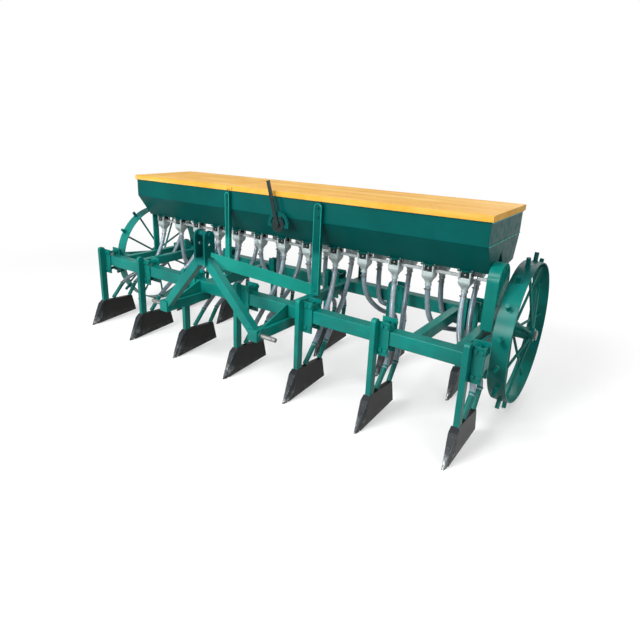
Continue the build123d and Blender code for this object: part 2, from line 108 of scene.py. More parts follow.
class Graph:
    """A node tree with short calls for the nodes that the finishes share."""

    def __init__(self, tree: bpy.types.NodeTree) -> None:
        """Work on one node tree."""
        self.tree = tree

    def feed(self, socket: bpy.types.NodeSocket, value: object) -> None:
        """Link a socket into an input, or set the input's value."""
        if isinstance(value, bpy.types.NodeSocket):
            self.tree.links.new(value, socket)
        else:
            socket.default_value = value

    def add(self, kind: str, inputs: dict | None = None, **settings: object) -> bpy.types.Node:
        """Add a node.

        Args:
            kind: The node's type name.
            inputs: Values or sockets by the input's name or index.
            settings: The node's own properties.

        Returns:
            The new node.
        """
        node = self.tree.nodes.new(kind)
        for name, value in settings.items():
            setattr(node, name, value)
        for key, value in (inputs or {}).items():
            self.feed(node.inputs[key], value)
        return node

    def maths(self, operation: str, a: object, b: object = 0.0,
              clamp: bool = False) -> bpy.types.NodeSocket:
        """Return a Math node's output for two values."""
        node = self.add("ShaderNodeMath", {0: a, 1: b}, operation=operation, use_clamp=clamp)
        return node.outputs[0]

    def height(self, coords: object) -> bpy.types.NodeSocket:
        """Return the height of some coordinates."""
        return self.add("ShaderNodeSeparateXYZ", {0: coords}).outputs[2]

    def mix(self, factor: object, a: object, b: object) -> bpy.types.NodeSocket:
        """Return a colour between a and b."""
        node = self.add("ShaderNodeMix", {0: factor, 6: a, 7: b}, data_type="RGBA")
        return node.outputs[2]

    def noise(self, coords: object, scale: float, detail: float = 3.0,
              stretch: Point = (1.0, 1.0, 1.0)) -> bpy.types.NodeSocket:
        """Return a noise value.

        Args:
            coords: The coordinates that it follows.
            scale: Cells in a metre.
            detail: Finer layers on top.
            stretch: Scale of each axis.

        Returns:
            The noise's value socket, about 0 to 1.
        """
        spread = self.add("ShaderNodeMapping", {"Vector": coords, "Scale": stretch})
        node = self.add("ShaderNodeTexNoise", {"Vector": spread.outputs[0], "Scale": scale,
                                               "Detail": detail, "Roughness": 0.55})
        return node.outputs[0]

    def step(self, value: object, low: float, high: float, to_low: float = 0.0,
             to_high: float = 1.0) -> bpy.types.NodeSocket:
        """Return a value eased from to_low to to_high while it goes from low to high."""
        node = self.add("ShaderNodeMapRange", {0: value, 1: low, 2: high, 3: to_low, 4: to_high},
                        interpolation_type="SMOOTHSTEP", clamp=True)
        return node.outputs[0]


class Effects:
    """Shader node groups that several finishes use, each built once."""

    def __init__(self) -> None:
        """Build the groups."""
        self.edge_wear = self._edge_wear()
        self.field_dust = self._field_dust()
        self.surface = self._surface()

    @staticmethod
    def _group(name: str, inputs: Sequence[tuple[str, str, float | None]],
               outputs: Sequence[tuple[str, str]]) -> tuple[Graph, dict, bpy.types.Node]:
        """Start a group.

        Args:
            name: The group's name.
            inputs: Name, socket type and first value of each input.
            outputs: Name and socket type of each output.

        Returns:
            The group's graph, its input sockets by name, and its output node.
        """
        tree = bpy.data.node_groups.new(name, "ShaderNodeTree")
        for label, kind, value in inputs:
            socket = tree.interface.new_socket(name=label, in_out="INPUT", socket_type=kind)
            if value is not None:
                socket.default_value = value
        for label, kind in outputs:
            tree.interface.new_socket(name=label, in_out="OUTPUT", socket_type=kind)
        graph = Graph(tree)
        start, end = graph.add("NodeGroupInput"), graph.add("NodeGroupOutput")
        return graph, {s.name: s for s in start.outputs}, end

    def _edge_wear(self) -> bpy.types.NodeTree:
        """Return a group whose Mask is 1 where paint has rubbed off an outer edge."""
        graph, given, end = self._group(
            "Edge wear",
            (("Vector", SOCKET_VECTOR, None), ("Radius", SOCKET_VALUE, 0.002),
             ("Amount", SOCKET_VALUE, 0.5)),
            (("Mask", SOCKET_VALUE),))
        rounded = graph.add("ShaderNodeBevel", {"Radius": given["Radius"]}, samples=4)
        true_normal = graph.add("ShaderNodeNewGeometry").outputs["Normal"]
        same = graph.add("ShaderNodeVectorMath", {0: rounded.outputs[0], 1: true_normal},
                         operation="DOT_PRODUCT").outputs["Value"]
        edge = graph.step(graph.maths("SUBTRACT", 1.0, same), 0.01, 0.12)
        patch = graph.noise(given["Vector"], 42.0, 5.0)
        rubbed = graph.maths("MULTIPLY", edge, graph.step(patch, 0.5, 0.68))
        graph.feed(end.inputs["Mask"], graph.maths("MULTIPLY", rubbed, given["Amount"], clamp=True))
        return graph.tree

    def _field_dust(self) -> bpy.types.NodeTree:
        """Return a group whose Mask is soil dust, thicker near the ground."""
        graph, given, end = self._group(
            "Field dust",
            (("Vector", SOCKET_VECTOR, None), ("Height", SOCKET_VALUE, 0.5),
             ("Amount", SOCKET_VALUE, 0.5)),
            (("Mask", SOCKET_VALUE),))
        z = graph.height(given["Vector"])
        share = graph.maths("SUBTRACT", 1.0, graph.maths("DIVIDE", z, given["Height"]), clamp=True)
        cloud = graph.step(graph.noise(given["Vector"], 11.0, 6.0), 0.35, 0.7)
        speck = graph.step(graph.noise(given["Vector"], 160.0, 3.0), 0.45, 0.8)
        both = graph.maths("ADD", graph.maths("MULTIPLY", cloud, 0.75),
                           graph.maths("MULTIPLY", speck, 0.35))
        mask = graph.maths("MULTIPLY", graph.maths("MULTIPLY", both, share), given["Amount"], clamp=True)
        graph.feed(end.inputs["Mask"], mask)
        return graph.tree

    def _surface(self) -> bpy.types.NodeTree:
        """Return a group with a fine Height for Bump, a slow Tone for colour and a Gloss."""
        graph, given, end = self._group(
            "Brushed and baked surface",
            (("Vector", SOCKET_VECTOR, None), ("Peel", SOCKET_VALUE, 1.0)),
            (("Height", SOCKET_VALUE), ("Tone", SOCKET_VALUE), ("Gloss", SOCKET_VALUE)))
        fine = graph.noise(given["Vector"], 620.0, 1.0)
        dents = graph.noise(given["Vector"], 24.0, 2.0)
        height = graph.maths("ADD", graph.maths("MULTIPLY", fine, given["Peel"]),
                             graph.maths("MULTIPLY", dents, 0.3))
        graph.feed(end.inputs["Height"], height)
        graph.feed(end.inputs["Tone"], graph.step(graph.noise(given["Vector"], 4.5, 4.0), 0.3, 0.75))
        graph.feed(end.inputs["Gloss"], graph.step(graph.noise(given["Vector"], 36.0, 5.0), 0.3, 0.8))
        return graph.tree

    def place(self, graph: Graph, tree: bpy.types.NodeTree, coords: bpy.types.NodeSocket,
              **values: float) -> bpy.types.Node:
        """Put a group in a material.

        Args:
            graph: The material's graph.
            tree: The group's tree.
            coords: The coordinates that it follows.
            values: The group's other inputs by name.

        Returns:
            The group node.
        """
        node = graph.add("ShaderNodeGroup", node_tree=tree)
        graph.feed(node.inputs["Vector"], coords)
        for name, value in values.items():
            graph.feed(node.inputs[name], value)
        return node


class Material:
    """A new material with its coordinates and its Principled shader at hand."""

    def __init__(self, name: str) -> None:
        """Start the material."""
        self.data = bpy.data.materials.new(name)
        self.data.use_nodes = True
        self.graph = Graph(self.data.node_tree)
        self.shader = self.data.node_tree.nodes["Principled BSDF"]
        self.coords = self.graph.add("ShaderNodeTexCoord").outputs["Object"]

    def wire(self, **values: object) -> None:
        """Set or link the shader's inputs, with underscores for the spaces in their names."""
        for name, value in values.items():
            self.graph.feed(self.shader.inputs[name.replace("_", " ")], value)

    def bump(self, height: object, strength: float, distance: float) -> None:
        """Give the shader a Bump from a height."""
        node = self.graph.add("ShaderNodeBump", {"Strength": strength, "Distance": distance,
                                                 "Height": height})
        self.graph.feed(self.shader.inputs["Normal"], node.outputs[0])


@dataclass(frozen=True)
class GlossPaint:
    """Sprayed enamel on steel, with rubbed edges and soil dust low down, and, where given, pale bands of
    painted glare.

    Where `upper` is given, it takes over from `upper_from` to `upper_to` in metres above the ground,
    on every piece that reaches so high; that darker colour is painted shade on the hopper.
    """

    colour: Colour
    deep: Colour
    primer: Colour = rgb(96, 104, 98)
    soil: Colour = rgb(60, 66, 50)
    roughness: float = 0.36
    wear: float = 0.4
    dust: float = 0.45
    dust_height: float = 0.6
    peel: float = 0.25
    gloss: float = 0.2
    upper_gloss: float = 0.02
    shine: float = 0.035
    glare_streaks: float = 0.0
    upper: Colour | None = None
    upper_from: float = 0.655
    upper_to: float = 0.7

    def build(self, name: str, effects: Effects) -> bpy.types.Material:
        """Return the paint as a material."""
        made = Material(name)
        g = made.graph
        skin = effects.place(g, effects.surface, made.coords, Peel=self.peel)
        edge = effects.place(g, effects.edge_wear, made.coords, Radius=0.0022,
                             Amount=self.wear).outputs[0]
        dust = effects.place(g, effects.field_dust, made.coords, Height=self.dust_height,
                             Amount=self.dust).outputs[0]
        colour = g.mix(skin.outputs["Tone"], self.deep, self.colour)
        gloss = self.gloss
        # Above upper_from the colour turns to the darker upper green: painted shade on the hopper.
        if self.upper:
            z = g.height(made.coords)
            above = g.mix(skin.outputs["Tone"], darkened(self.upper, 0.8), self.upper)
            colour = g.mix(g.step(z, self.upper_from, self.upper_to), colour, above)
            gloss = g.step(z, self.upper_from, self.upper_to, self.gloss, self.upper_gloss)
        # Pale bands along X, mixed towards the soil colour, are painted glare.
        if self.glare_streaks:
            grain = g.noise(made.coords, 5.0, 4.0, (0.22, 4.0, 4.0))
            line = g.step(grain, 0.48, 0.7, 0.0, self.glare_streaks)
            colour = g.mix(line, colour, self.soil)
        colour = g.mix(dust, colour, self.soil)
        colour = g.mix(edge, colour, self.primer)
        clean = g.step(skin.outputs["Gloss"], 0.0, 1.0, self.roughness - 0.06, self.roughness + 0.1)
        rough = g.maths("ADD", clean, g.maths("MULTIPLY", dust, 0.45), clamp=True)
        made.wire(Base_Color=colour, Roughness=rough, Metallic=g.maths("MULTIPLY", edge, 0.5),
                  Coat_Weight=gloss, Coat_Roughness=0.25, Specular_IOR_Level=self.shine)
        made.bump(skin.outputs["Height"], 0.05, 0.0004)
        return made.data


@dataclass(frozen=True)
class TilledSteel:
    """Blackened steel that the soil has polished towards the ground."""

    dark: Colour
    polished: Colour
    polish_height: float
    polish: float
    roughness: float = 0.42

    def build(self, name: str, effects: Effects) -> bpy.types.Material:
        """Return the steel as a material."""
        made = Material(name)
        g = made.graph
        skin = effects.place(g, effects.surface, made.coords, Peel=0.8)
        edge = effects.place(g, effects.edge_wear, made.coords, Radius=0.003, Amount=0.9).outputs[0]
        low = g.step(g.height(made.coords), self.polish_height, 0.0)
        patch = g.step(g.noise(made.coords, 26.0, 5.0), 0.42, 0.62)
        scrape = g.step(g.noise(made.coords, 60.0, 4.0, (5.0, 1.0, 1.0)), 0.4, 0.75)
        bare = g.maths("MULTIPLY", g.maths("MULTIPLY", low, g.maths("ADD", patch, 0.25)), self.polish)
        bare = g.maths("MULTIPLY", bare, g.maths("ADD", scrape, 0.35))
        bare = g.maths("MAXIMUM", bare, edge, clamp=True)
        tone = g.mix(skin.outputs["Tone"], self.dark, darkened(self.dark, 0.7))
        made.wire(Base_Color=g.mix(bare, tone, self.polished), Specular_IOR_Level=0.1,
                  Metallic=g.step(bare, 0.0, 1.0, 0.1, 0.85),
                  Roughness=g.step(bare, 0.0, 1.0, self.roughness, 0.3))
        made.bump(g.maths("ADD", skin.outputs["Height"], scrape), 0.2, 0.0006)
        return made.data


@dataclass(frozen=True)
class DropPlastic:
    """Milky flexible plastic pipe, dulled by handling, with faint mould rings."""

    colour: Colour
    deep: Colour

    def build(self, name: str, effects: Effects) -> bpy.types.Material:
        """Return the plastic as a material."""
        made = Material(name)
        g = made.graph
        skin = effects.place(g, effects.surface, made.coords, Peel=0.3)
        dust = effects.place(g, effects.field_dust, made.coords, Height=0.7, Amount=0.4).outputs[0]
        rings = g.maths("SINE", g.maths("MULTIPLY", g.height(made.coords), 1100.0))
        colour = g.mix(g.noise(made.coords, 9.0, 3.0), self.deep, self.colour)
        made.wire(Base_Color=g.mix(dust, colour, rgb(120, 112, 98)),
                  Roughness=g.step(skin.outputs["Gloss"], 0.0, 1.0, 0.22, 0.4),
                  Coat_Weight=0.3, Subsurface_Weight=0.1, Subsurface_Radius=(0.006, 0.006, 0.008))
        ribbed = g.maths("ADD", skin.outputs["Height"], g.maths("MULTIPLY", rings, 0.4))
        made.bump(ribbed, 0.3, 0.0005)
        return made.data


@dataclass(frozen=True)
class CastMetal:
    """Cast or drawn metal with a fine grain, stained in patches."""

    colour: Colour
    stain: Colour
    metallic: float
    roughness: float
    grain: float = 1.0

    def build(self, name: str, effects: Effects) -> bpy.types.Material:
        """Return the metal as a material."""
        made = Material(name)
        g = made.graph
        skin = effects.place(g, effects.surface, made.coords, Peel=self.grain)
        stain = g.step(g.noise(made.coords, 48.0, 5.0), 0.5, 0.75, 0.0, 0.75)
        bright = g.maths("SUBTRACT", 1.0, g.maths("MULTIPLY", stain, 0.6))
        clean = g.step(skin.outputs["Gloss"], 0.0, 1.0, self.roughness - 0.05, self.roughness + 0.08)
        made.wire(Base_Color=g.mix(stain, self.colour, self.stain),
                  Metallic=g.maths("MULTIPLY", bright, self.metallic),
                  Roughness=g.maths("ADD", g.maths("MULTIPLY", stain, 0.25), clean))
        made.bump(skin.outputs["Height"], 0.35, 0.0005)
        return made.data


class PaintShop:
    """All finishes, built once and handed out by coat."""

    recipes: dict[Coat, GlossPaint | TilledSteel | DropPlastic | CastMetal] = {
        # The darker upper green is painted shade on the hopper.
        Coat.GREEN: GlossPaint(rgb(8, 124, 114), rgb(4, 100, 94), upper=rgb(3, 80, 77)),
        # The stay paint also serves as painted highlight on the hopper's end ridges and the front posts'
        # edges.
        Coat.STAY_AND_HIGHLIGHT: GlossPaint(rgb(36, 162, 148), rgb(24, 146, 132), wear=0.3, dust=0.08),
        Coat.CASE: GlossPaint(rgb(12, 124, 114), rgb(6, 102, 94), roughness=0.3, gloss=0.16),
        # On the lid the pale soil colour serves both its dust and its painted glare bands.
        Coat.LID: GlossPaint(rgb(216, 166, 72), rgb(208, 152, 54), primer=rgb(160, 138, 90),
                             soil=rgb(240, 216, 150), roughness=0.45, wear=0.25, dust=0.14,
                             dust_height=3.0, gloss=0.0, glare_streaks=0.3),
        Coat.SHOE: TilledSteel(rgb(46, 47, 45), rgb(120, 122, 120), 0.07, 0.3, 0.38),
        Coat.WORN: TilledSteel(rgb(44, 48, 51), rgb(150, 154, 154), 0.10, 0.75, 0.4),
        Coat.TUBE: DropPlastic(rgb(128, 152, 172), rgb(98, 112, 110)),
        Coat.CUP: CastMetal(rgb(158, 170, 170), rgb(92, 98, 92), 0.25, 0.45),
        Coat.BRIGHT: CastMetal(rgb(158, 164, 166), rgb(104, 100, 90), 0.75, 0.35, 0.4),
        Coat.PLAIN: CastMetal(rgb(120, 122, 120), rgb(84, 74, 62), 0.8, 0.42, 0.6),
        # The dark lever paint also serves as painted shade on the gate boxes.
        Coat.LEVER_AND_SHADE: GlossPaint(rgb(30, 44, 43), rgb(22, 32, 32), wear=0.6, dust=0.1, roughness=0.35),
    }

    def __init__(self) -> None:
        """Build every finish."""
        effects = Effects()
        self.materials = {coat: recipe.build(coat.value, effects)
                          for coat, recipe in self.recipes.items()}

    def dress_nodes(self) -> None:
        """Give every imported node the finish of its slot, whether or not a piece stands for it."""
        slots = {row["node"]: row["material_slot"] for row in frame["record"]["subparts"]}
        for name, node in frame["nodes"].items():
            material = self.materials[Coat(slots[name])]
            if not node.material_slots:
                node.data.materials.append(material)
            for slot in node.material_slots:
                slot.material = material


# ---- shapes -------------------------------------------------------------------------------

class Shape:
    """One piece under construction: a bmesh and the operators that shape it."""

    def __init__(self) -> None:
        """Start an empty mesh."""
        self.bm = bmesh.new()

    def _bevel(self, edges: Iterable[bmesh.types.BMEdge], width: float, segments: int = 2) -> None:
        """Round some edges by a width in millimetres."""
        bmesh.ops.bevel(self.bm, geom=list(edges), offset=width * MM, offset_type="OFFSET", affect="EDGES",
                        segments=segments, profile=0.5, material=-1, clamp_overlap=True)

    def block(self, low: Vector, high: Vector, soften: float = 0.0, turn: Matrix | None = None) -> None:
        """Add a box.

        Args:
            low: One corner, in metres.
            high: The opposite corner.
            soften: Width of its rounded edges in millimetres.
            turn: A turn about its middle.
        """
        verts = bmesh.ops.create_cube(self.bm, size=1.0)["verts"]
        bmesh.ops.scale(self.bm, vec=high - low, verts=verts)
        if turn is not None:
            bmesh.ops.transform(self.bm, matrix=turn.to_4x4(), verts=verts)
        bmesh.ops.translate(self.bm, vec=(low + high) / 2, verts=verts)
        if soften:
            self._bevel({e for v in verts for e in v.link_edges}, soften)

    def rod(self, start: Vector, end: Vector, radius: float, sides: int = 16, soften: float = 0.0,
            end_radius: float | None = None) -> None:
        """Add a round, hexagonal or tapered bar.

        Args:
            start: Middle of its first end, in metres.
            end: Middle of its other end.
            radius: Radius of its first end in millimetres.
            sides: Sides around it.
            soften: Width of its rounded rims in millimetres.
            end_radius: Radius of its other end.
        """
        along = end - start
        far = radius if end_radius is None else end_radius
        verts = bmesh.ops.create_cone(self.bm, cap_ends=True, segments=sides, radius1=radius * MM,
                                      radius2=far * MM, depth=along.length)["verts"]
        place = Matrix.Translation((start + end) / 2) @ along.to_track_quat("Z", "Y").to_matrix().to_4x4()
        bmesh.ops.transform(self.bm, matrix=place, verts=verts)
        if soften:
            rims = {e for v in verts for e in v.link_edges
                    if any(len(f.verts) == sides for f in e.link_faces) and sides != 4}
            self._bevel(rims, soften)

    def turned(self, profile: Sequence[tuple[float, float]], origin: Vector, axis: Vector,
               sides: int = 24, closed: bool = False) -> None:
        """Add a turned shape.

        Args:
            profile: Pairs of distance along the axis and radius, in millimetres.
            origin: Where the axis starts, in metres.
            axis: Direction of the axis.
            sides: Steps in a full turn.
            closed: Whether the profile is a ring's closed section.
        """
        direction = axis.normalized()
        side = direction.orthogonal().normalized()
        verts = [self.bm.verts.new(origin + direction * a * MM + side * r * MM) for a, r in profile]
        pairs = list(zip(verts, verts[1:])) + ([(verts[-1], verts[0])] if closed else [])
        edges = [self.bm.edges.new(pair) for pair in pairs]
        bmesh.ops.spin(self.bm, geom=verts + edges, cent=origin, axis=direction, angle=2 * math.pi,
                       steps=sides, use_merge=True)
        bmesh.ops.remove_doubles(self.bm, verts=self.bm.verts[:], dist=1e-6)

    def funnel(self, x: float, y: float, sections: Sequence[tuple[float, float, float]],
               soften: float = 0.0) -> None:
        """Add a box that narrows in steps, around a vertical axis.

        Args:
            x: Its middle in millimetres.
            y: Its middle.
            sections: Height, half width and half depth of each step, from the top down.
            soften: Width of its rounded edges.
        """
        rings = [[self.bm.verts.new(at(x + i * hx, y + j * hy, z)) for i, j in
                  ((-1, -1), (1, -1), (1, 1), (-1, 1))] for z, hx, hy in sections]
        faces = [self.bm.faces.new(rings[0]), self.bm.faces.new(rings[-1])]
        for upper, lower in zip(rings, rings[1:]):
            for k in range(4):
                faces.append(self.bm.faces.new((upper[k], upper[k - 1], lower[k - 1], lower[k])))
        bmesh.ops.recalc_face_normals(self.bm, faces=faces)
        if soften:
            self._bevel({e for f in faces for e in f.edges}, soften)

    def stud(self, seat: Vector, out: Vector, height: float, radius: float, sides: int = 6,
             soften: float = 0.6) -> None:
        """Add a head on a face.

        Args:
            seat: Its middle on the face, in metres.
            out: Direction out of the face.
            height: How far it stands out, in millimetres.
            radius: Its radius.
            sides: Sides around it.
            soften: Width of its rounded rims.
        """
        self.rod(seat, seat + out * (height * MM), radius, sides, soften)

    def bolt(self, head: Vector, towards: Vector, length: float, radius: float = 6.0) -> None:
        """Add a hexagon bolt with its washer and nut.

        Args:
            head: Where the head seats, in metres.
            towards: Direction from the head to the nut.
            length: Grip between head and nut in millimetres.
            radius: Shank radius.
        """
        d = towards.normalized() * MM
        self.rod(head - d * radius * 1.2, head, radius * 1.75, 6, 0.8)
        self.rod(head - d * 1.6, head + d * 0.6, radius * 2.2, 18)
        far = head + d * length
        self.rod(far - d * 0.6, far + d * 1.6, radius * 2.2, 18)
        self.rod(far, far + d * radius * 1.5, radius * 1.75, 6, 0.8)
        self.rod(far, far + d * radius * 2.6, radius * 0.92, 12, 0.8)

    def bead(self, start: Vector, end: Vector, radius: float = 3.2) -> None:
        """Add a weld bead whose ripples run from start to end, radius in millimetres."""
        along = end - start
        ripples = max(3, int(along.length / (radius * 1.8 * MM)))
        pitch = along.length / MM / ripples
        profile = [(0.0, radius * 0.3)]
        for i in range(ripples):
            profile += [((i + 0.35) * pitch, radius), ((i + 0.95) * pitch, radius * 0.8)]
        profile += [(along.length / MM, 0.0)]
        self.turned([(0.0, 0.0)] + profile, start, along, 7)

    def finish(self, name: str, coat: Coat, body: str, shop: PaintShop,
               replaces: Sequence[str] = ()) -> bpy.types.Object:
        """Close the mesh and hand over the piece.

        Args:
            name: The piece's name.
            coat: Its finish.
            body: The body that it rides on.
            shop: Where the finish comes from.
            replaces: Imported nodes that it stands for.

        Returns:
            The finished object.
        """
        loose = [v for v in self.bm.verts if not v.link_faces]
        bmesh.ops.delete(self.bm, geom=loose, context="VERTS")
        bmesh.ops.recalc_face_normals(self.bm, faces=self.bm.faces[:])
        mesh = bpy.data.meshes.new(name)
        self.bm.to_mesh(mesh)
        self.bm.free()
        return settle(name, mesh, coat, body, shop, replaces)


def settle(name: str, mesh: bpy.types.Mesh, coat: Coat, body: str, shop: PaintShop,
           replaces: Sequence[str] = ()) -> bpy.types.Object:
    """Make an object of a mesh, shade it, dress it and let it ride.

    Args:
        name: The piece's name.
        mesh: Its mesh, in place.
        coat: Its finish.
        body: The body that it rides on.
        shop: Where the finish comes from.
        replaces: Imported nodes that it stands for.

    Returns:
        The object.
    """
    mesh.shade_smooth()
    mesh.set_sharp_from_angle(angle=math.radians(38))
    piece = bpy.data.objects.new(name, mesh)
    link(piece)
    flats = piece.modifiers.new("even flats", "WEIGHTED_NORMAL")
    flats.keep_sharp = True
    mesh.materials.append(shop.materials[coat])
    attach(piece, body)
    if replaces:
        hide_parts(*replaces)
    log.info("%s: %d faces on %s", name, len(mesh.polygons), body)
    return piece


def softened(node: str, width: float, shop: PaintShop, segments: int = 2) -> bpy.types.Object:
    """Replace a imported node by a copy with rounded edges.

    Args:
        node: The node.
        width: Width of the rounding in millimetres.
        shop: Where the finishes come from.
        segments: Steps in the rounding.

    Returns:
        The piece that stands for the node.
    """
    shape = Shape()
    shape.bm.from_mesh(frame["nodes"][node].data)
    bm = shape.bm
    bmesh.ops.remove_doubles(bm, verts=bm.verts[:], dist=2e-5)
    bmesh.ops.dissolve_limit(bm, angle_limit=math.radians(0.8), verts=bm.verts[:], edges=bm.edges[:])
    hard = [e for e in bm.edges
            if len(e.link_faces) == 2 and e.calc_face_angle(0.0) > math.radians(25)]
    shape._bevel(hard, width, segments)
    slots = {row["node"]: row["material_slot"] for row in frame["record"]["subparts"]}
    body = next(b for b, nodes in frame["record"]["behaviour"]["bodies"].items() if node in nodes)
    return shape.finish(f"{node}_finished", Coat(slots[node]), body, shop, (node,))


# ---- layout --------------------------------------------------------------------------------

@dataclass(frozen=True)
class Layout:
    """Places that several assemblies share."""

    row_pitch: float = 203.0
    cup_pitch: float = 175.0
    front_rows: tuple[int, ...] = (-6, -4, -2, 0, 2, 4, 6)
    rear_rows: tuple[int, ...] = (-5, -3, -1, 1, 3, 5)
    beam: float = 65.0
    beam_top: float = 459.0
    front_beam_y: float = -249.0
    rear_beam_y: float = 310.0
    cup_rows: tuple[int, ...] = tuple(range(-6, 7))
    front_cup_y: float = 118.0
    rear_cup_y: float = 290.0
    hopper_floor: float = 700.0
    half_length: float = 1162.0
    shaft_z: float = 668.0
    cup_low: float = 590.0
    post_x: float = 315.0

    @property
    def beam_low(self) -> float:
        """Underside of the beams."""
        return self.beam_top - self.beam


@dataclass(frozen=True)
class BootPipe:
    """A pipe behind a shank: its foot and its head, with y from the shank's face."""

    foot_y: float
    foot_z: float
    head_y: float
    head_z: float


PLAN = Layout()
BOOTS = {
    ("front", "seed"): BootPipe(34.0, 152.0, 116.0, 240.0),
    ("front", "fertiliser"): BootPipe(162.0, 141.0, 222.0, 226.0),
    ("rear", "seed"): BootPipe(34.0, 152.0, 62.0, 256.0),
    ("rear", "fertiliser"): BootPipe(162.0, 141.0, 176.0, 244.0),
}


# ---- frame -----------------------------------------------------------------------------------

@dataclass
class MainFrame:
    """Beams, cross members, brackets and wheel arms, with their weld beads."""

    shop: PaintShop
    cross_x: tuple[float, ...] = (-1115.0, -964.25, -300.0, 300.0, 964.25, 1155.0)
    cross_half: float = 20.0
    bead_inset: float = 6.0

    def build(self) -> None:
        """Dress the frame's nodes and add what is welded to them."""
        for node in ("front_beam", "rear_beam"):
            softened(node, 0.8, self.shop)
        for node in ("cross_members", "end_brackets", "wheel_arms"):
            softened(node, 2.0, self.shop)
        self._welds()

    def _welds(self) -> None:
        """Add beads where the cross members meet the beams."""
        shape = Shape()
        front, rear = PLAN.front_beam_y + PLAN.beam, PLAN.rear_beam_y
        top, low = PLAN.beam_top - self.bead_inset, PLAN.beam_low + self.bead_inset
        for x in self.cross_x:
            for y in (front, rear):
                shape.bead(at(x - self.cross_half, y, top), at(x + self.cross_half, y, top))
                for side in (-1, 1):
                    edge = x + side * self.cross_half
                    shape.bead(at(edge, y, low), at(edge, y, top))
        shape.finish("frame_weld_beads", Coat.GREEN, "frame", self.shop)


# ---- tines -------------------------------------------------------------------------------------

@dataclass
class TineRow:
    """One beam's tines: shanks, clamps with bolts, shoes, shovels and boots."""

    shop: PaintShop
    name: str
    rows: tuple[int, ...]
    face_y: float
    bolt_x: tuple[float, ...] = (24.0, 48.0)
    bolt_z: tuple[float, ...] = (372.0, 481.0)
    rear_bolt_rise: float = 14.0
    shank_radius: float = 5.6
    plate: float = 8.0
    point_top: tuple[float, float] = (-46.0, 152.0)
    point_root: tuple[float, float] = (-143.0, 0.0)
    point_lift: float = 7.0

    def build(self) -> None:
        """Dress this row's nodes and add its fasteners."""
        for kind, width in (("shanks", 1.6), ("clamps", 1.2), ("shoes", 1.5), ("points", 1.4)):
            softened(f"{self.name}_{kind}", width, self.shop)
        self._bolts()
        self._boots()
        self._point_studs()

    def _bolts(self) -> None:
        """Add the four long bolts of each clamp."""
        shape = Shape()
        grip = PLAN.beam + 2 * self.plate
        for row in self.rows:
            flip = -1 if self.name == "rear" and row < 0 else 1
            for x in self.bolt_x:
                for z in self.bolt_z:
                    raised = self.name == "rear" and z <= PLAN.beam_top
                    seat_z = z + self.rear_bolt_rise if raised else z
                    head = at(row * PLAN.row_pitch + flip * x, self.face_y - self.plate, seat_z)
                    shape.bolt(head, Vector((0, 1, 0)), grip, 6.0)
                    shape.rod(head, head + Vector((0, grip * MM, 0)), self.shank_radius, 10)
        shape.finish(f"{self.name}_clamp_bolts", Coat.GREEN, "frame", self.shop)

    def _boots(self) -> None:
        """Add the round pipes behind each shank, open at the top."""
        pipes = [pipe for (row_name, _), pipe in BOOTS.items() if row_name == self.name]
        shape = Shape()
        for row in self.rows:
            for pipe in pipes:
                foot = at(row * PLAN.row_pitch, self.face_y + pipe.foot_y, pipe.foot_z)
                head = at(row * PLAN.row_pitch, self.face_y + pipe.head_y, pipe.head_z)
                length = (head - foot).length / MM
                profile = [(0.0, 0.0), (0.0, 12.4), (length - 9.0, 12.4), (length - 7.0, 14.0),
                           (length + 1.0, 14.4), (length + 1.0, 12.6), (length - 20.0, 11.8),
                           (length - 20.0, 0.0)]
                shape.turned(profile, foot, head - foot, 20)
        shape.finish(f"{self.name}_boot_pipes", Coat.GREEN, "frame", self.shop, (f"{self.name}_boots",))

    def _point_studs(self) -> None:
        """Add the two countersunk studs that hold each shovel."""
        shape = Shape()
        top, root = (Vector((0.0, self.face_y + y, z)) for y, z in (self.point_top, self.point_root))
        slope = (top - root).normalized()
        out = Vector((0.0, -slope.z, slope.y))
        for row in self.rows:
            for share in (0.52, 0.74):
                middle = root + (top - root) * share
                lift = middle + out * self.point_lift
                place = at(row * PLAN.row_pitch, lift.y, lift.z)
                shape.rod(place, place + out * 5.0 * MM, 6.5, 14, 0.7, 5.2)
        shape.finish(f"{self.name}_point_studs", Coat.WORN, "frame", self.shop)


# ---- drop tubes --------------------------------------------------------------------------------

@dataclass(frozen=True)
class TubeLane:
    """How one kind of drop tube runs from its cup to its boot.

    Its first turn is at y and z, or at outer_y and outer_z in the outermost rows. The lead is how
    far above the boot it lines up with it. Where a lane is given, the tube first passes beside the
    shank there, that far from the row's middle.
    """

    y: float
    z: float
    outer_y: float
    outer_z: float
    lead: float
    lane: float | None = None
    lane_y: float = 0.0
    lane_z: float = 0.0


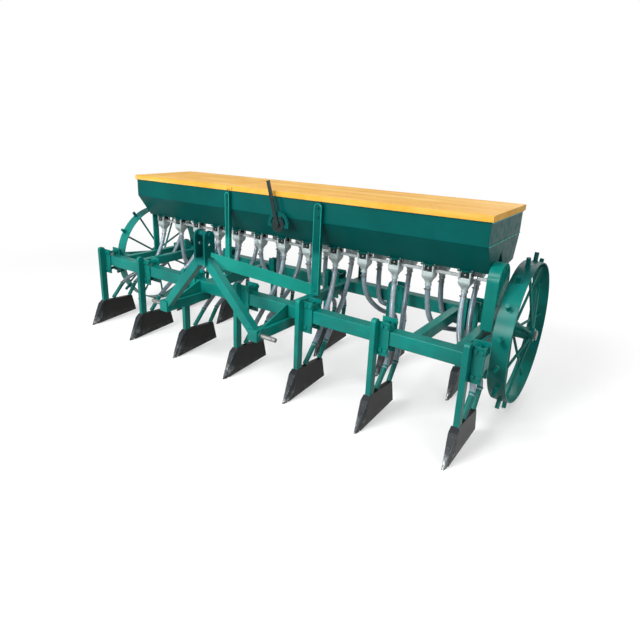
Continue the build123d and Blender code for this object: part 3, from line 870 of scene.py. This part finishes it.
@dataclass
class DropTubes:
    """Flexible drop tubes and the bands that hold their upper ends."""

    shop: PaintShop
    radius: float = 13.2
    outer_row: int = 5
    cup_seat: float = 2.0
    boot_seat: float = 14.0
    lanes = {
        ("front", "seed"): TubeLane(108.0, 478.0, 60.0, 372.0, 56.0),
        ("front", "fertiliser"): TubeLane(262.0, 420.0, 190.0, 356.0, 40.0),
        ("rear", "seed"): TubeLane(122.0, 478.0, 122.0, 394.0, 60.0, 58.0, 292.0, 332.0),
        ("rear", "fertiliser"): TubeLane(282.0, 404.0, 282.0, 396.0, 76.0, 28.5, 316.0, 370.0),
    }

    def build(self) -> None:
        """Make the four sets of tubes and the bands under the cups."""
        bands = Shape()
        for (row_name, pipe), lane in self.lanes.items():
            rows = PLAN.front_rows if row_name == "front" else PLAN.rear_rows
            face_y = PLAN.front_beam_y if row_name == "front" else PLAN.rear_beam_y
            cup_y = PLAN.front_cup_y if pipe == "seed" else PLAN.rear_cup_y
            boot = BOOTS[row_name, pipe]
            routes = [self._route(row, lane, boot, face_y, cup_y) for row in rows]
            self._tubes(f"{row_name}_{pipe}_tubes", routes)
            for route in routes:
                self._band(bands, route[0], route[1])
        bands.finish("tube_bands", Coat.PLAIN, "frame", self.shop)

    def _route(self, row: int, lane: TubeLane, boot: BootPipe, face_y: float,
               cup_y: float) -> list[Vector]:
        """Return one tube's turns.

        Args:
            row: The tine's row.
            lane: How this kind of tube runs.
            boot: The pipe that it ends in.
            face_y: The shanks' face.
            cup_y: The middle of the cups.

        Returns:
            The turns in metres, from the cup to the boot.
        """
        side = -1 if row < 0 else 1
        outer = abs(row) >= self.outer_row
        x_cup, x_row = row * PLAN.cup_pitch, row * PLAN.row_pitch
        run = math.hypot(boot.head_y - boot.foot_y, boot.head_z - boot.foot_z)
        up_y, up_z = (boot.head_y - boot.foot_y) / run, (boot.head_z - boot.foot_z) / run
        turn_y, turn_z = (lane.outer_y, lane.outer_z) if outer else (lane.y, lane.z)
        route = [at(x_cup, cup_y, PLAN.cup_low + self.cup_seat), at(x_cup, turn_y, turn_z)]
        if lane.lane is not None:
            route.append(at(x_row - side * lane.lane, lane.lane_y, lane.lane_z))
        for rise in (lane.lead, -self.boot_seat):
            route.append(at(x_row, face_y + boot.head_y + up_y * rise, boot.head_z + up_z * rise))
        return route

    def _tubes(self, node: str, routes: Sequence[Sequence[Vector]]) -> None:
        """Make one set of tubes as smooth splines through their turns.

        Args:
            node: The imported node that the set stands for.
            routes: Each tube's turns.
        """
        curve = bpy.data.curves.new(node, "CURVE")
        curve.dimensions = "3D"
        curve.bevel_depth = self.radius * MM
        curve.bevel_resolution = 4
        curve.use_fill_caps = True
        curve.resolution_u = 10
        for route in routes:
            spline = curve.splines.new("NURBS")
            spline.points.add(len(route) - 1)
            for point, place in zip(spline.points, route):
                point.co = (*place, 1.0)
            spline.order_u = 3
            spline.use_endpoint_u = True
        holder = bpy.data.objects.new(node, curve)
        link(holder)
        drawn = holder.evaluated_get(bpy.context.evaluated_depsgraph_get())
        mesh = bpy.data.meshes.new_from_object(drawn)
        bpy.data.objects.remove(holder)
        bm = bmesh.new()
        bm.from_mesh(mesh)
        bmesh.ops.remove_doubles(bm, verts=bm.verts[:], dist=1e-6)
        bmesh.ops.recalc_face_normals(bm, faces=bm.faces[:])
        bm.to_mesh(mesh)
        bm.free()
        mesh.materials.clear()
        settle(f"{node}_drawn", mesh, Coat.TUBE, "frame", self.shop, (node,))

    def _band(self, shape: Shape, end: Vector, inner: Vector) -> None:
        """Add a screw band just inside a tube's end."""
        inset, width, thick = 16.0, 9.0, 1.6
        screw_out, screw_half, screw_radius = 3.0, 6, 3.2
        along = (inner - end).normalized()
        start = end + along * inset * MM
        r = self.radius
        hoop = [(0.0, r), (0.0, r + thick), (width, r + thick), (width, r)]
        shape.turned(hoop, start, along, 20, closed=True)
        side = along.orthogonal().normalized()
        seat = start + along * (width / 2) * MM + side * (r + screw_out) * MM
        reach = along.cross(side) * screw_half * MM
        shape.rod(seat - reach, seat + reach, screw_radius, 8, 0.5)


# ---- metering ------------------------------------------------------------------------------------

@dataclass
class Metering:
    """Feed cups under the hopper: gate boxes, prongs round the shaft, and bowls with necks.

    Places are from the cup's middle, and heights down from the hopper's floor.
    """

    shop: PaintShop
    flange_half: tuple[float, float] = (36.0, 35.0)
    flange_drop: tuple[float, float] = (4.0, 0.3)
    tab_half: float = 13.0
    tab_y: tuple[float, float] = (-30.0, -20.0)
    tab_drop: float = 10.0
    box_half: float = 20.0
    box_y: tuple[float, float] = (-22.0, 24.0)
    box_drop: float = 34.0
    prong_x: tuple[float, float] = (21.5, 28.5)
    prongs: tuple[tuple[float, float, float], ...] = ((-31.0, -18.0, 6.0), (18.0, 31.0, 12.0))
    prong_drop: float = 44.0
    boss_x: tuple[float, float] = (20.0, 24.0)
    boss_radius: float = 12.0
    neck_drop: float = 92.0
    screw: Point = (30.0, -25.0, 4.2)
    pin_x: float = 2.0
    pin_y: tuple[float, float] = (-22.0, -29.0)
    pin_drop: float = 20.0
    collar_overhang: tuple[float, float] = (46.0, 44.0)
    collar_half: float = 6.0
    collar_radius: float = 15.0
    bowl: tuple[tuple[float, float, float], ...] = (
        (664.0, 27.0, 29.0), (642.0, 28.5, 30.5), (632.0, 26.0, 27.0), (616.0, 16.0, 16.0),
        (606.0, 13.5, 13.5))
    neck: tuple[tuple[float, float], ...] = (
        (0.0, 0.0), (0.0, 14.2), (8.0, 14.2), (9.5, 16.5), (17.0, 16.5), (18.0, 15.0), (18.0, 0.0))

    def build(self) -> None:
        """Make the cups and shafts."""
        for name, y in (("front", PLAN.front_cup_y), ("rear", PLAN.rear_cup_y)):
            self._cups(name, y)
        self._shafts()

    def _cups(self, name: str, y: float) -> None:
        """Make one line of cups.

        Args:
            name: The line's name.
            y: Its middle.
        """
        bowls, boxes, flanges, bolts = Shape(), Shape(), Shape(), Shape()
        for i in PLAN.cup_rows:
            x = i * PLAN.cup_pitch
            self._flange(flanges, x, y)
            self._gate_box(boxes, x, y)
            self._bowl(bowls, x, y)
            self._screws(bolts, x, y)
        bowls.finish(f"{name}_feed_cup_bowls", Coat.CUP, "frame", self.shop, (f"{name}_feed_cups",))
        # The gate boxes take the dark lever paint as painted shade between the prongs.
        boxes.finish(f"{name}_gate_boxes", Coat.LEVER_AND_SHADE, "frame", self.shop)
        flanges.finish(f"{name}_gate_flanges", Coat.GREEN, "frame", self.shop)
        bolts.finish(f"{name}_gate_bolts", Coat.PLAIN, "frame", self.shop)

    def _flange(self, shape: Shape, x: float, y: float) -> None:
        """Add the plate that holds one gate box to the floor, with its tab."""
        floor = PLAN.hopper_floor
        half_x, half_y = self.flange_half
        under, over = self.flange_drop
        shape.block(at(x - half_x, y - half_y, floor - under), at(x + half_x, y + half_y, floor - over),
                    1.2)
        near, far = self.tab_y
        shape.block(at(x - self.tab_half, y + near, floor - self.tab_drop),
                    at(x + self.tab_half, y + far, floor - under), 1.5)

    def _gate_box(self, shape: Shape, x: float, y: float) -> None:
        """Add one gate box, dark in lever paint as painted shade under the hopper floor."""
        floor = PLAN.hopper_floor
        near, far = self.box_y
        shape.block(at(x - self.box_half, y + near, floor - self.box_drop),
                    at(x + self.box_half, y + far, floor - self.flange_drop[0]), 2.0)

    def _bowl(self, shape: Shape, x: float, y: float) -> None:
        """Add one bowl with its neck, and the prongs and bosses round the shaft."""
        floor = PLAN.hopper_floor
        shape.funnel(x, y, self.bowl, 2.2)
        shape.turned(self.neck, at(x, y, floor - self.neck_drop), Vector((0, 0, -1)), 24)
        for side in (-1, 1):
            x0, x1 = sorted(x + side * edge for edge in self.prong_x)
            for near, far, over in self.prongs:
                shape.block(at(x0, y + near, floor - self.prong_drop), at(x1, y + far, floor - over), 1.8)
            start, end = (at(x + side * edge, y, PLAN.shaft_z) for edge in self.boss_x)
            shape.rod(start, end, self.boss_radius, 20, 1.0)

    def _screws(self, shape: Shape, x: float, y: float) -> None:
        """Add one cup's two floor screws and the gate's pin."""
        floor = PLAN.hopper_floor
        screw_x, screw_y, drop = self.screw
        for side in (-1, 1):
            shape.bolt(at(x + side * screw_x, y + screw_y, floor - drop), Vector((0, 0, 1)), 0.2, 3.4)
        seat, head = (at(x + self.pin_x, y + edge, floor - self.pin_drop) for edge in self.pin_y)
        shape.rod(seat, head, 5.0, 6, 0.7)

    def _shafts(self) -> None:
        """Soften the square shafts and add their end collars with set screws."""
        softened("feed_shafts", 0.8, self.shop)
        shape = Shape()
        left, right = self.collar_overhang
        ends = (PLAN.cup_rows[0] * PLAN.cup_pitch - left, PLAN.cup_rows[-1] * PLAN.cup_pitch + right)
        half, z = self.collar_half, PLAN.shaft_z
        for y in (PLAN.front_cup_y, PLAN.rear_cup_y):
            for x in ends:
                shape.rod(at(x - half, y, z), at(x + half, y, z), self.collar_radius, 20, 1.0)
                shape.rod(at(x, y, z + 14), at(x, y, z + 21), 4.0, 6, 0.5)
        shape.finish("shaft_collars", Coat.BRIGHT, "frame", self.shop)


# ---- hopper ----------------------------------------------------------------------------------------

@dataclass
class Hopper:
    """Hopper shell, ends, partition and posts, with seams, post bolts and turned post edges."""

    shop: PaintShop
    seams_z: tuple[tuple[float, float], ...] = ((837.0 - 1.6, 837.0 + 1.6), (936, 940))
    depth: float = 476.0
    lip: float = 3.0
    bolts_z: tuple[float, ...] = (480.0, 868.0, 912.0)
    bolt_seat_y: float = -22.0
    edge_halves: tuple[tuple[int, float], ...] = ((-1, 14.0), (1, 21.5))
    edge_y: float = -22.6
    edge_foot: float = 470.0
    post_crown: float = 933.0
    arc_steps: int = 8
    edge_radius: float = 1.7

    def build(self) -> None:
        """Dress the hopper's nodes and add its trim."""
        for node, width in (("hopper_shell", 0.9), ("hopper_ends", 0.9), ("hopper_partition", 0.6),
                            ("front_hopper_posts", 1.6), ("rear_hopper_posts", 1.6)):
            softened(node, width, self.shop)
        self._seams()
        self._fasteners()
        self._post_edges()

    def _seams(self) -> None:
        """Add the two ridges across each end, at the fold and below the rim; their lighter stay paint is a
        painted highlight along them.
        """
        shape = Shape()
        for side in (-1, 1):
            x0, x1 = sorted((side * PLAN.half_length, side * (PLAN.half_length + self.lip)))
            for low, high in self.seams_z:
                shape.block(at(x0, 1, low), at(x1, self.depth - 1, high), 0.8)
        shape.finish("hopper_seams", Coat.STAY_AND_HIGHLIGHT, "frame", self.shop)

    def _fasteners(self) -> None:
        """Add the bolt heads on the front posts."""
        heads = Shape()
        for side in (-1, 1):
            for z in self.bolts_z:
                heads.stud(at(side * PLAN.post_x, self.bolt_seat_y, z), FORWARD, 5.0, 8.0, 6, 0.8)
        heads.finish("post_bolts", Coat.GREEN, "frame", self.shop)

    def _post_edges(self) -> None:
        """Add the turned edge that runs up each front post and round its top; its lighter stay paint is a
        painted highlight along the edge.
        """
        shape = Shape()
        for side, half in self.edge_halves:
            x, top = side * PLAN.post_x, self.post_crown - half
            path = [(x - half, self.edge_foot)]
            for k in range(self.arc_steps + 1):
                a = math.pi / self.arc_steps * k
                path.append((x - half * math.cos(a), top + half * math.sin(a)))
            path.append((x + half, self.edge_foot))
            for (x0, z0), (x1, z1) in zip(path, path[1:]):
                shape.rod(at(x0, self.edge_y, z0), at(x1, self.edge_y, z1), self.edge_radius, 8)
        shape.finish("post_edges", Coat.STAY_AND_HIGHLIGHT, "frame", self.shop)


@dataclass
class Lids:
    """The two lids, their hinges and the catch at their seam."""

    shop: PaintShop
    seam_x: float = -326.0

    def build(self) -> None:
        """Dress the lids and hinges and add the catch."""
        softened("lid_left", 1.6, self.shop)
        softened("lid_right", 1.6, self.shop)
        softened("lid_hinges", 0.5, self.shop, 1)
        shape = Shape()
        left, right, face_y, low, high = self.seam_x + 4, self.seam_x + 40, -15, 950, 966
        shape.block(at(left, face_y, low), at(right, -8.2, high), 1.2)
        middle_x, middle_z = (left + right) / 2, (low + high) / 2
        shape.rod(at(middle_x, face_y, middle_z), at(middle_x, face_y - 5, middle_z), 5.0, 14, 0.8)
        shape.finish("lid_catch", Coat.LID, "lid_right", self.shop)


# ---- wheels -----------------------------------------------------------------------------------------

@dataclass
class GroundWheel:
    """A pegged ground wheel with the pin at its axle's end."""

    shop: PaintShop
    side: int
    rim_inner: float
    wheel_y: float
    rim_radius: float = 344.0
    rim_width: float = 80.0
    rim_thick: float = 6.0
    peg_length: float = 43.0
    peg_radius: float = 10.0
    pegs: int = 16
    hub_radius: float = 32.0
    bore: float = 15.6
    spokes: int = 6
    spoke_radius: float = 6.5

    def __post_init__(self) -> None:
        """Place the hub's ends from the rim's edges."""
        self.hub_inner = self.rim_inner - 6.0
        self.hub_outer = self.rim_inner + self.rim_width + 24.0

    @property
    def word(self) -> str:
        """Name of the side."""
        return "left" if self.side < 0 else "right"

    def build(self) -> None:
        """Make the rim, the hub with its spokes, and the axle's pin."""
        centre_z = sum(v.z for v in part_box(f"wheel_rim_{self.word}")) / 2 / MM
        self._rim(centre_z)
        self._hub(centre_z)
        self._axle_end(centre_z)

    def _point(self, x: float, radius: float, angle: float, centre_z: float) -> Vector:
        """Return a place at a radius and angle round the axle."""
        return at(self.side * x, self.wheel_y + radius * math.cos(angle),
                  centre_z + radius * math.sin(angle))

    def _rim(self, centre_z: float) -> None:
        """Make the rim band and its welded pegs."""
        shape = Shape()
        origin, axis = at(self.side * self.rim_inner, self.wheel_y, centre_z), Vector((self.side, 0, 0))
        r, w, t, c = self.rim_radius, self.rim_width, self.rim_thick, 1.2
        ring = [(c, r), (w - c, r), (w, r - c), (w, r - t + c), (w - c, r - t), (c, r - t),
                (0, r - t + c), (0, r - c)]
        shape.turned(ring, origin, axis, 96, closed=True)
        x = self.rim_inner + self.rim_width / 2
        for i in range(self.pegs):
            a = math.pi / self.pegs * (2 * i + 1)
            foot, head = (self._point(x, r + d, a, centre_z) for d in (-3.0, self.peg_length))
            shape.rod(foot, head, self.peg_radius, 14, 1.4)
            out = (head - foot).normalized()
            weld = [(0, 9.6), (0.2, 14.0), (2.5, 13.0), (5.0, 9.8)]
            shape.turned(weld, foot + out * 2.8 * MM, out, 14)
        shape.finish(f"wheel_rim_{self.word}_rolled", Coat.GREEN, f"wheel_{self.word}", self.shop,
                     (f"wheel_rim_{self.word}",))

    def _hub(self, centre_z: float) -> None:
        """Make the hub tube and its two fans of spokes."""
        shape = Shape()
        origin, axis = at(self.side * self.hub_inner, self.wheel_y, centre_z), Vector((self.side, 0, 0))
        n, r, b = self.hub_outer - self.hub_inner, self.hub_radius, self.bore
        tube = [(1, r), (20, r), (22, r - 2.5), (n - 22, r - 2.5), (n - 20, r), (n - 1, r), (n, r - 1),
                (n, b + 1), (n - 1, b), (1, b), (0, b + 1), (0, r - 1)]
        shape.turned(tube, origin, axis, 40, closed=True)
        fans = ((self.hub_inner + 14.0, self.rim_inner + self.rim_width * 0.62, 0.0),
                (self.hub_outer - 14.0, self.rim_inner + self.rim_width * 0.38, 0.5))
        for hub_x, rim_x, phase in fans:
            for i in range(self.spokes):
                a = 2 * math.pi * (i + phase) / self.spokes
                foot = self._point(hub_x, r - 6.0, a, centre_z)
                head = self._point(rim_x, self.rim_radius - self.rim_thick + 1.5, a, centre_z)
                shape.rod(foot, head, self.spoke_radius, 14)
                out = (head - foot).normalized()
                for place, way in ((foot + out * 6 * MM, out), (head - out * 1.5 * MM, -out)):
                    shape.turned([(0, 6.0), (0.2, 10.5), (2.5, 9.5), (6.0, 6.4)], place, way, 12)
        shape.finish(f"wheel_hub_{self.word}_turned", Coat.GREEN, f"wheel_{self.word}", self.shop,
                     (f"wheel_hub_{self.word}",))

    def _axle_end(self, centre_z: float) -> None:
        """Add the split pin through the axle's end."""
        shape = Shape()
        middle = at(self.side * (self.hub_outer + 7.5), self.wheel_y, centre_z)
        reach = Vector((0, 0, 25 * MM))
        shape.rod(middle - reach, middle + reach, 2.4, 10, 0.5)
        shape.finish(f"axle_pin_{self.word}", Coat.BRIGHT, "frame", self.shop)


@dataclass
class Running:
    """Both wheels and the axles; the left wheel runs further forward and out."""

    shop: PaintShop
    places: tuple[tuple[int, float, float], ...] = ((-1, 1237.0, 252.0), (1, 1223.0, 357.0))

    def build(self) -> None:
        """Make the wheels and dress the axles."""
        for side, rim_inner, wheel_y in self.places:
            GroundWheel(self.shop, side, rim_inner, wheel_y).build()
        softened("axles", 1.0, self.shop)


# ---- chain case ----------------------------------------------------------------------------------------

@dataclass
class ChainCase:
    """Chain case with the screws of its cover."""

    shop: PaintShop
    outer: float = 1215.0
    rise: float = 8.0
    screw_circle: float = 62.0
    screw_rows: tuple[float, ...] = (580.0, 500.0)
    arc_screws: int = 5

    def build(self) -> None:
        """Dress the case and add its screws."""
        softened("chain_case", 1.8, self.shop)
        shape = Shape()
        y, z, out = PLAN.front_cup_y, PLAN.shaft_z + self.rise, self.screw_circle
        places = []
        for k in range(self.arc_screws):
            a = math.pi * k / (self.arc_screws - 1)
            places.append((y + out * math.cos(a), z + out * math.sin(a)))
        places += [(edge, row) for edge in (y - out, y + out) for row in self.screw_rows]
        for screw_y, screw_z in places:
            shape.stud(at(self.outer, screw_y, screw_z), Vector((1, 0, 0)), 3.5, 6.0)
        shape.finish("chain_case_screws", Coat.CASE, "frame", self.shop)


# ---- hitch -----------------------------------------------------------------------------------------------

@dataclass
class Hitch:
    """Three point hitch: mast, lower blocks with pins, arms, stays."""

    shop: PaintShop
    mast_y: float = -505.0
    bore_z: float = 758.0
    plate_out: float = 38.0
    hitch_y: float = -488.0
    pin_z: float = 374.0
    shoulder: float = 341.5
    arm_x: float = 312.0
    arm_half: float = 24.0
    block_bead_z: tuple[float, float] = (348, 392)

    def build(self) -> None:
        """Dress the hitch's nodes and add its bushes, collars and beads."""
        for node, width in (("mast_plates", 1.4), ("mast_spacer", 1.0), ("mast_foot", 1.6),
                            ("mast_legs", 2.2), ("mast_stays", 1.2), ("lower_hitch_blocks", 2.4),
                            ("lower_hitch_arms", 2.4), ("hitch_gussets", 1.2), ("lower_hitch_pins", 2.0)):
            softened(node, width, self.shop)
        self._bushes()
        self._beads()

    def _bushes(self) -> None:
        """Add bush rings round the top link's hole, and collars on the lower pins."""
        rings = Shape()
        for side in (-1, 1):
            x = side * self.plate_out
            rings.turned([(0, 10.2), (0, 19.0), (2.6, 18.4), (3.2, 17.6), (3.2, 10.2)],
                         at(x, self.mast_y, self.bore_z), Vector((side, 0, 0)), 28, closed=True)
            face = side * self.shoulder
            rings.turned([(0, 11.2), (0, 21.0), (5.0, 20.0), (6.0, 18.0), (6.0, 11.2)],
                         at(face, self.hitch_y, self.pin_z), Vector((side, 0, 0)), 28, closed=True)
        rings.finish("hitch_bushes", Coat.GREEN, "frame", self.shop)

    def _beads(self) -> None:
        """Add the hitch's weld beads."""
        beads = Shape()
        front, under, block_y = PLAN.front_beam_y, PLAN.beam_low - 2, self.hitch_y + 28
        low, high = self.block_bead_z
        for side in (-1, 1):
            arm = side * self.arm_x
            for edge in (arm - self.arm_half, arm + self.arm_half):
                beads.bead(at(edge, front + 2, under), at(edge, front + 62, under))
                beads.bead(at(edge, block_y, low), at(edge, block_y, high))
        beads.finish("hitch_weld_beads", Coat.GREEN, "frame", self.shop)


@dataclass
class RateControl:
    """Rate lever with its pivot, and the quadrant with its stops, screws and disc."""

    shop: PaintShop
    x: float = 72.0
    y: float = -44.5
    pivot_z: float = 800.0
    length: float = 236.0
    lean: float = 16.0
    quadrant_y: float = -30.0
    quadrant_radius: float = 70.0
    stops: int = 9
    stops_from: float = 20.0
    stops_apart: float = 17.5
    screws: int = 5
    screw_circle: float = 28
    disc: tuple[tuple[float, float], ...] = (
        (0.0, 0.0), (0.0, 42.0), (3.0, 42.0), (4.0, 41.0), (4.0, 0.0))

    def build(self) -> None:
        """Dress the quadrant, make the flat lever and add the trim."""
        softened("quadrant", 0.8, self.shop)
        self._lever()
        self._stops()
        self._disc()

    def _lever(self) -> None:
        """Make the flat lever with its rounded ends and pivot."""
        shape = Shape()
        a = math.radians(self.lean)
        up = Vector((-math.sin(a), 0.0, math.cos(a)))
        foot = at(self.x, self.y, self.pivot_z)
        turn = Matrix.Rotation(-a, 3, "Y")
        middle = foot + up * self.length / 2 * MM
        half = Vector((11.0, 3.5, self.length / 2)) * MM
        shape.block(middle - half, middle + half, 2.0, turn)
        for depth, radius, sides in ((12.0, 15.0, 24), (18.0, 8.0, 6)):
            shape.rod(foot + Vector((0, depth * 0.55 * MM, 0)), foot - Vector((0, depth * 0.5 * MM, 0)),
                      radius, sides, 1.2)
        shape.finish("rate_lever_bar", Coat.LEVER_AND_SHADE, "frame", self.shop, ("rate_lever",))

    def _on_arc(self, radius: float, degrees: float, y: float) -> Vector:
        """Return a place round the lever's pivot."""
        a = math.radians(degrees)
        return at(self.x + radius * math.cos(a), y, self.pivot_z + radius * math.sin(a))

    def _stops(self) -> None:
        """Add the raised stops along the quadrant's arc, and the screws round its pivot."""
        shape = Shape()
        for k in range(self.stops):
            seat = self._on_arc(self.quadrant_radius - 5.0, self.stops_from + self.stops_apart * k,
                                self.quadrant_y - 5.0)
            shape.stud(seat, FORWARD, 2.5, 3.0, 10, 0.5)
        for k in range(self.screws):
            seat = self._on_arc(self.screw_circle, 40.0 + 25.0 * k, self.quadrant_y - 9.0)
            shape.stud(seat, FORWARD, 4, 5.0)
        shape.finish("quadrant_stops", Coat.GREEN, "frame", self.shop)

    def _disc(self) -> None:
        """Add the dark disc behind the pivot."""
        shape = Shape()
        shape.turned(self.disc, at(self.x, self.quadrant_y - 5.0, self.pivot_z), FORWARD, 40)
        shape.finish("quadrant_disc", Coat.LEVER_AND_SHADE, "frame", self.shop)


# ---- studio ------------------------------------------------------------------------------------------------

@dataclass(frozen=True)
class Lamp:
    """A round soft lamp: where it hangs and how wide it is in metres, and its watts."""

    name: str
    place: Point
    size: float
    power: float


@dataclass
class Studio:
    """Camera, floor, world and lamps."""

    eye: Point = (1.7817, -2.2883, 1.2905)
    azimuth: float = 37.4
    down: float = 17.6
    roll: float = 1.4
    lens: float = 29.2
    shift: tuple[float, float] = (0.0536, -0.0425)
    floor_half: float = 9.0
    lamps: tuple[Lamp, ...] = (
        Lamp("key", (-0.4, -3.3, 3.6), 1.6, 158.0), Lamp("front", (0.5, -3.5, 1.5), 0.85, 56.0),
        Lamp("left", (-1.8, -3.0, 1.2), 0.8, 40.0), Lamp("fill", (4.0, -1.6, 1.8), 2.4, 56.0),
        Lamp("back", (1.0, 4.0, 3.2), 3.0, 90.0))
    aim: Point = (0.0, 0.0, 0.45)

    def build(self) -> None:
        """Set up everything around the drill."""
        self._camera()
        self._world()
        self._floor()
        self._lamps()

    def _camera(self) -> None:
        """Stand the camera at the front right corner, looking down the row of tines."""
        az, el, roll = (math.radians(v) for v in (self.azimuth, self.down, self.roll))
        ahead = Vector((-math.sin(az) * math.cos(el), math.cos(az) * math.cos(el), -math.sin(el)))
        right = ahead.cross(Vector((0, 0, 1))).normalized()
        up = right.cross(ahead)
        x_axis = right * math.cos(roll) + up * math.sin(roll)
        y_axis = up * math.cos(roll) - right * math.sin(roll)
        turn = Matrix((x_axis, y_axis, -ahead)).transposed()
        data = bpy.data.cameras.new("camera")
        data.sensor_width = 36.0
        data.lens = self.lens
        data.shift_x, data.shift_y = self.shift
        data.clip_end = 100.0
        camera = bpy.data.objects.new("camera", data)
        camera.matrix_world = Matrix.Translation(self.eye) @ turn.to_4x4()
        link(camera)
        bpy.context.scene.camera = camera

    @staticmethod
    def _seen_directly(graph: Graph) -> bpy.types.NodeSocket:
        """Return 1 for what the camera sees, also in metal and through clear plastic."""
        path = graph.add("ShaderNodeLightPath")
        seen = graph.maths("ADD", path.outputs["Is Camera Ray"], path.outputs["Is Glossy Ray"])
        return graph.maths("ADD", seen, path.outputs["Is Transmission Ray"], clamp=True)

    def _world(self) -> None:
        """White to look at, and a grey that brightens upwards as a light."""
        scene = bpy.context.scene
        scene.view_settings.view_transform = "Standard"
        world = bpy.data.worlds.new("studio")
        scene.world = world
        world.use_nodes = True
        graph = Graph(world.node_tree)
        output = world.node_tree.nodes["World Output"]
        up = graph.height(graph.add("ShaderNodeTexCoord").outputs["Generated"])
        strength = graph.step(up, -0.2, 0.8, 0.04, 0.55)
        light = graph.add("ShaderNodeBackground", {"Color": WHITE, "Strength": strength})
        view = graph.add("ShaderNodeBackground", {"Color": WHITE, "Strength": 1.0})
        both = graph.add("ShaderNodeMixShader", {0: self._seen_directly(graph), 1: light.outputs[0],
                                                 2: view.outputs[0]})
        graph.feed(output.inputs["Surface"], both.outputs[0])

    def _floor(self) -> None:
        """Lay a pale floor that fades into the white around it."""
        bm = bmesh.new()
        bmesh.ops.create_grid(bm, x_segments=1, y_segments=1, size=self.floor_half)
        bmesh.ops.translate(bm, vec=(0, 0, -0.0005), verts=bm.verts[:])
        mesh = bpy.data.meshes.new("floor")
        bm.to_mesh(mesh)
        bm.free()
        floor = bpy.data.objects.new("floor", mesh)
        link(floor)
        made = Material("studio_floor")
        g = made.graph
        distance = g.add("ShaderNodeVectorMath", {0: made.coords},
                         operation="LENGTH").outputs["Value"]
        fade = g.step(distance, 1.6, 4.0, 0.42, 1.0)
        grain = g.step(g.noise(made.coords, 3.0, 4.0), 0.2, 0.8, 0.97, 1.0)
        seen = self._seen_directly(g)
        level = g.step(seen, 0.0, 1.0, 0.16, 0.94)
        shade = g.maths("MULTIPLY", level, grain)
        tint = g.add("ShaderNodeCombineColor", {0: shade, 1: shade, 2: shade}).outputs[0]
        made.wire(Base_Color=tint, Roughness=0.9, Specular_IOR_Level=0.1)
        white = g.add("ShaderNodeEmission", {"Color": WHITE, "Strength": 1.0})
        far = g.maths("MULTIPLY", fade, seen)
        both = g.add("ShaderNodeMixShader", {0: far, 1: made.shader.outputs[0], 2: white.outputs[0]})
        output = made.data.node_tree.nodes["Material Output"]
        g.feed(output.inputs["Surface"], both.outputs[0])
        mesh.materials.append(made.data)

    def _lamps(self) -> None:
        """Hang the soft lamps and turn them to the drill."""
        for lamp in self.lamps:
            data = bpy.data.lights.new(lamp.name, "AREA")
            data.shape = "DISK"
            data.size = lamp.size
            data.energy = lamp.power
            holder = bpy.data.objects.new(lamp.name, data)
            aim = (Vector(self.aim) - Vector(lamp.place)).to_track_quat("-Z", "Y")
            holder.matrix_world = Matrix.Translation(lamp.place) @ aim.to_matrix().to_4x4()
            link(holder)


def main() -> None:
    """Build the drill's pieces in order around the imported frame."""
    logging.basicConfig(level=logging.INFO, format="%(message)s")
    shop = PaintShop()
    Studio().build()
    shop.dress_nodes()
    assemblies = (MainFrame(shop), TineRow(shop, "front", PLAN.front_rows, PLAN.front_beam_y),
                  TineRow(shop, "rear", PLAN.rear_rows, PLAN.rear_beam_y), DropTubes(shop), Metering(shop),
                  Hopper(shop), Lids(shop), Running(shop), ChainCase(shop), Hitch(shop), RateControl(shop))
    for assembly in assemblies:
        assembly.build()
        log.info("%s is in place", type(assembly).__name__)


if __name__ == "__main__":
    main()
